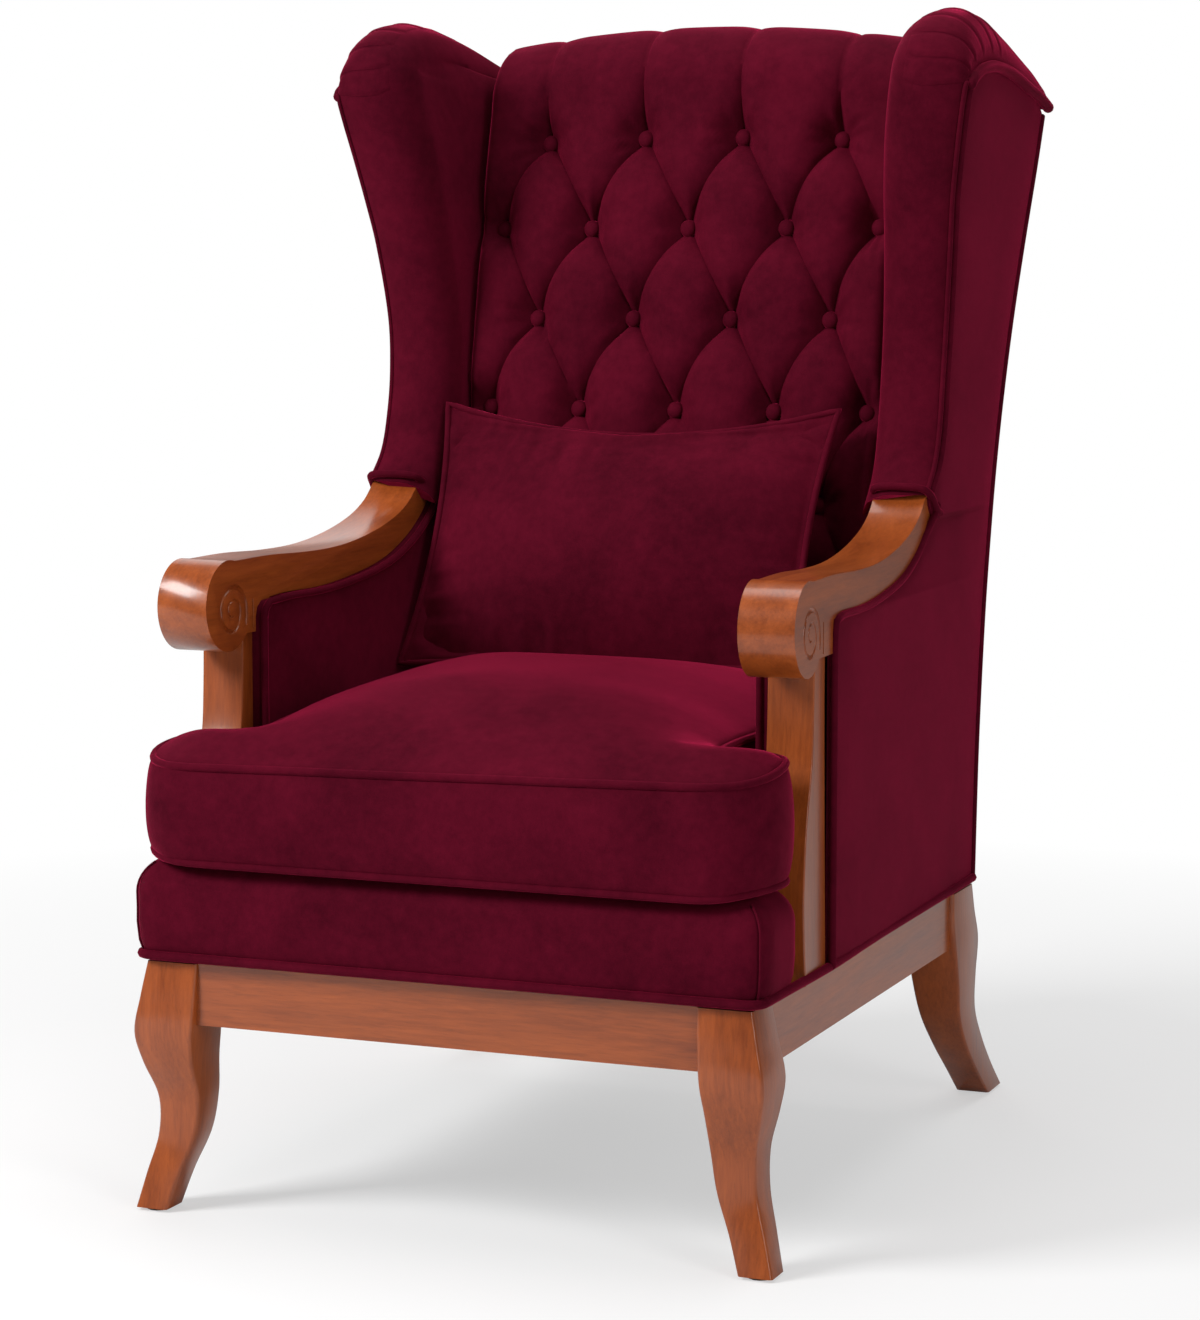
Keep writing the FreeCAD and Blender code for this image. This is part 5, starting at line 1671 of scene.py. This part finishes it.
class Insides:
    """CAD nodes that keep their shape and get a finish: rails, glides, frame, webbing and dust cover."""

    def build(self) -> list[str]:
        """Dress the nodes that stay."""
        frame_wood = Plain("frame beech", (0.42, 0.28, 0.15), (0.60, 0.44, 0.27), "frame_wood", 30.0, 0.7)
        table = {
            ShowWood(Grain.ACROSS): ["front_rail", "rear_rail"],
            ShowWood(Grain.FORE_AND_AFT): ["side_rail_left", "side_rail_right"],
            frame_wood: [
                "corner_blocks", "back_post_left", "back_post_right", "crest_rail", "back_cross_rails",
                "wing_frame_left", "wing_frame_right", "arm_dowels",
            ],
            Plain("jute webbing", (0.30, 0.22, 0.12), (0.50, 0.40, 0.25), "webbing", 400.0, 0.9):
                ["seat_webbing", "back_webbing"],
            Plain("dust cloth", (0.012, 0.012, 0.012), (0.035, 0.035, 0.035), "dust_cloth", 600.0, 0.95):
                ["dust_cover"],
            Plain("zinc-plated steel", (0.50, 0.50, 0.52), (0.66, 0.66, 0.68), "bolt_steel", 90.0, 0.35, 1.0):
                ["leg_bolts"],
            Plain("glide nylon", (0.06, 0.035, 0.02), (0.11, 0.065, 0.04), "glide_plastic", 120.0, 0.5):
                ["foot_glides"],
        }
        dressed = []
        for finish, nodes in table.items():
            for node in nodes:
                FINISHES.dress_node(node, finish)
                dressed.append(node)
        return dressed


@dataclass(frozen=True)
class Lamp:
    """A soft rectangular light."""

    name: str
    place: Point
    aim: Point
    size: Flat
    power: float


@dataclass
class Studio:
    """The camera at the photograph's viewpoint, the pale floor and the soft lights."""

    eye: Point = (1.3261, -3.3001, 0.9200)
    target: Point = (0.0292, -0.0950, 0.5218)
    lens: float = 94.14
    lamps: tuple[Lamp, ...] = (
        Lamp("key light", (-2.3, -2.5, 2.6), (0.0, -0.1, 0.6), (1.4, 1.4), 150.0),
        Lamp("fill light", (2.9, -1.9, 1.6), (0.0, 0.0, 0.6), (1.0, 2.0), 32.0),
        Lamp("top light", (0.2, 0.2, 3.4), (0.0, 0.1, 0.5), (2.0, 2.0), 50.0),
        Lamp("back light", (-2.2, 2.4, 2.4), (0.0, 0.1, 0.8), (2.0, 2.0), 14.0),
    )
    sky: float = 0.15

    def camera(self) -> None:
        """Place the camera."""
        Bench.deselect()
        bpy.ops.object.camera_add(location=self.eye)
        camera = bpy.context.active_object
        camera.name = "camera"
        look = Vector(self.target) - Vector(self.eye)
        camera.rotation_euler = look.to_track_quat("-Z", "Y").to_euler()
        camera.data.lens = self.lens
        camera.data.sensor_width = 36.0
        camera.data.clip_end = 60
        bpy.context.scene.camera = camera

    def backdrop(self) -> None:
        """Lay the pale floor, which keeps the chair's shadow and is white to the camera elsewhere."""
        Bench.deselect()
        bpy.ops.mesh.primitive_plane_add(size=24)
        floor = bpy.context.active_object
        floor.name = "floor"
        material, tree, shader = start_material("pale floor")
        feed(tree, shader, {Sockets.COLOUR: (0.86, 0.86, 0.86, 1), Sockets.ROUGH: 0.9, Sockets.SPECULAR: 0.1})
        glow = add_node(tree, "Emission", {"Color": (1, 1, 1, 1)})
        reach = add_node(tree, "VectorMath", {0: object_place(tree)}, operation="LENGTH").outputs["Value"]
        limits = {"From Min": 0.9, "From Max": 2.0, "To Min": 0.52, "To Max": 1.0}
        fade = add_node(tree, "MapRange", {"Value": reach, **limits}).outputs["Result"]
        rays = add_node(tree, "LightPath", {}).outputs["Is Camera Ray"]
        seen = math_node(tree, "MULTIPLY", rays, fade)
        mix = add_node(tree, "MixShader", {0: seen, 1: shader.outputs[0], 2: glow.outputs[0]})
        output = next(node for node in tree.nodes if node.type == "OUTPUT_MATERIAL")
        feed(tree, output, {"Surface": mix.outputs[0]})
        floor.data.materials.append(material)

    def lights(self) -> None:
        """Hang the lamps and set the sky."""
        for lamp in self.lamps:
            bpy.ops.object.light_add(type="AREA", location=lamp.place)
            light = bpy.context.active_object
            light.name = lamp.name
            light.data.shape = "RECTANGLE"
            light.data.size, light.data.size_y = lamp.size
            light.data.energy = lamp.power
            light.rotation_euler = (Vector(lamp.aim) - Vector(lamp.place)).to_track_quat("-Z", "Y").to_euler()
        world = bpy.context.scene.world or bpy.data.worlds.new("studio")
        bpy.context.scene.world = world
        world.use_nodes = True
        tree = world.node_tree
        tree.nodes.clear()
        sky = add_node(tree, "Background", {"Color": (1, 1, 1, 1), "Strength": self.sky})
        white = add_node(tree, "Background", {"Color": (1, 1, 1, 1)})
        rays = add_node(tree, "LightPath", {}).outputs["Is Camera Ray"]
        mix = add_node(tree, "MixShader", {0: rays, 1: sky.outputs[0], 2: white.outputs[0]})
        add_node(tree, "OutputWorld", {"Surface": mix.outputs[0]})

    def build(self) -> None:
        """Set up the whole studio."""
        self.camera()
        self.backdrop()
        self.lights()
        bpy.context.scene.view_settings.view_transform = "Standard"


def main() -> None:
    """Build the studio and every sub-assembly, and report each piece."""
    logging.basicConfig(level=logging.INFO, format="%(name)s: %(message)s")
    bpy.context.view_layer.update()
    Studio().build()
    arms = Arms()
    assemblies = (
        ("legs", Legs().build), ("arms and posts", arms.build), ("arm pads", lambda: ArmPads().build(arms)),
        ("outer panels", OuterPanels().build), ("wings", Wings().build), ("tufted back", TuftedBack().build),
        ("deck", Deck().build), ("seat cushion", SeatCushion().build), ("pillow", Pillow().build),
    )
    for label, build in assemblies:
        for piece in build():
            log.info("%s: %s, %d faces", label, piece.name, len(piece.data.polygons))
    log.info("dressed as they are: %s", ", ".join(Insides().build()))


if __name__ == "__main__":
    main()
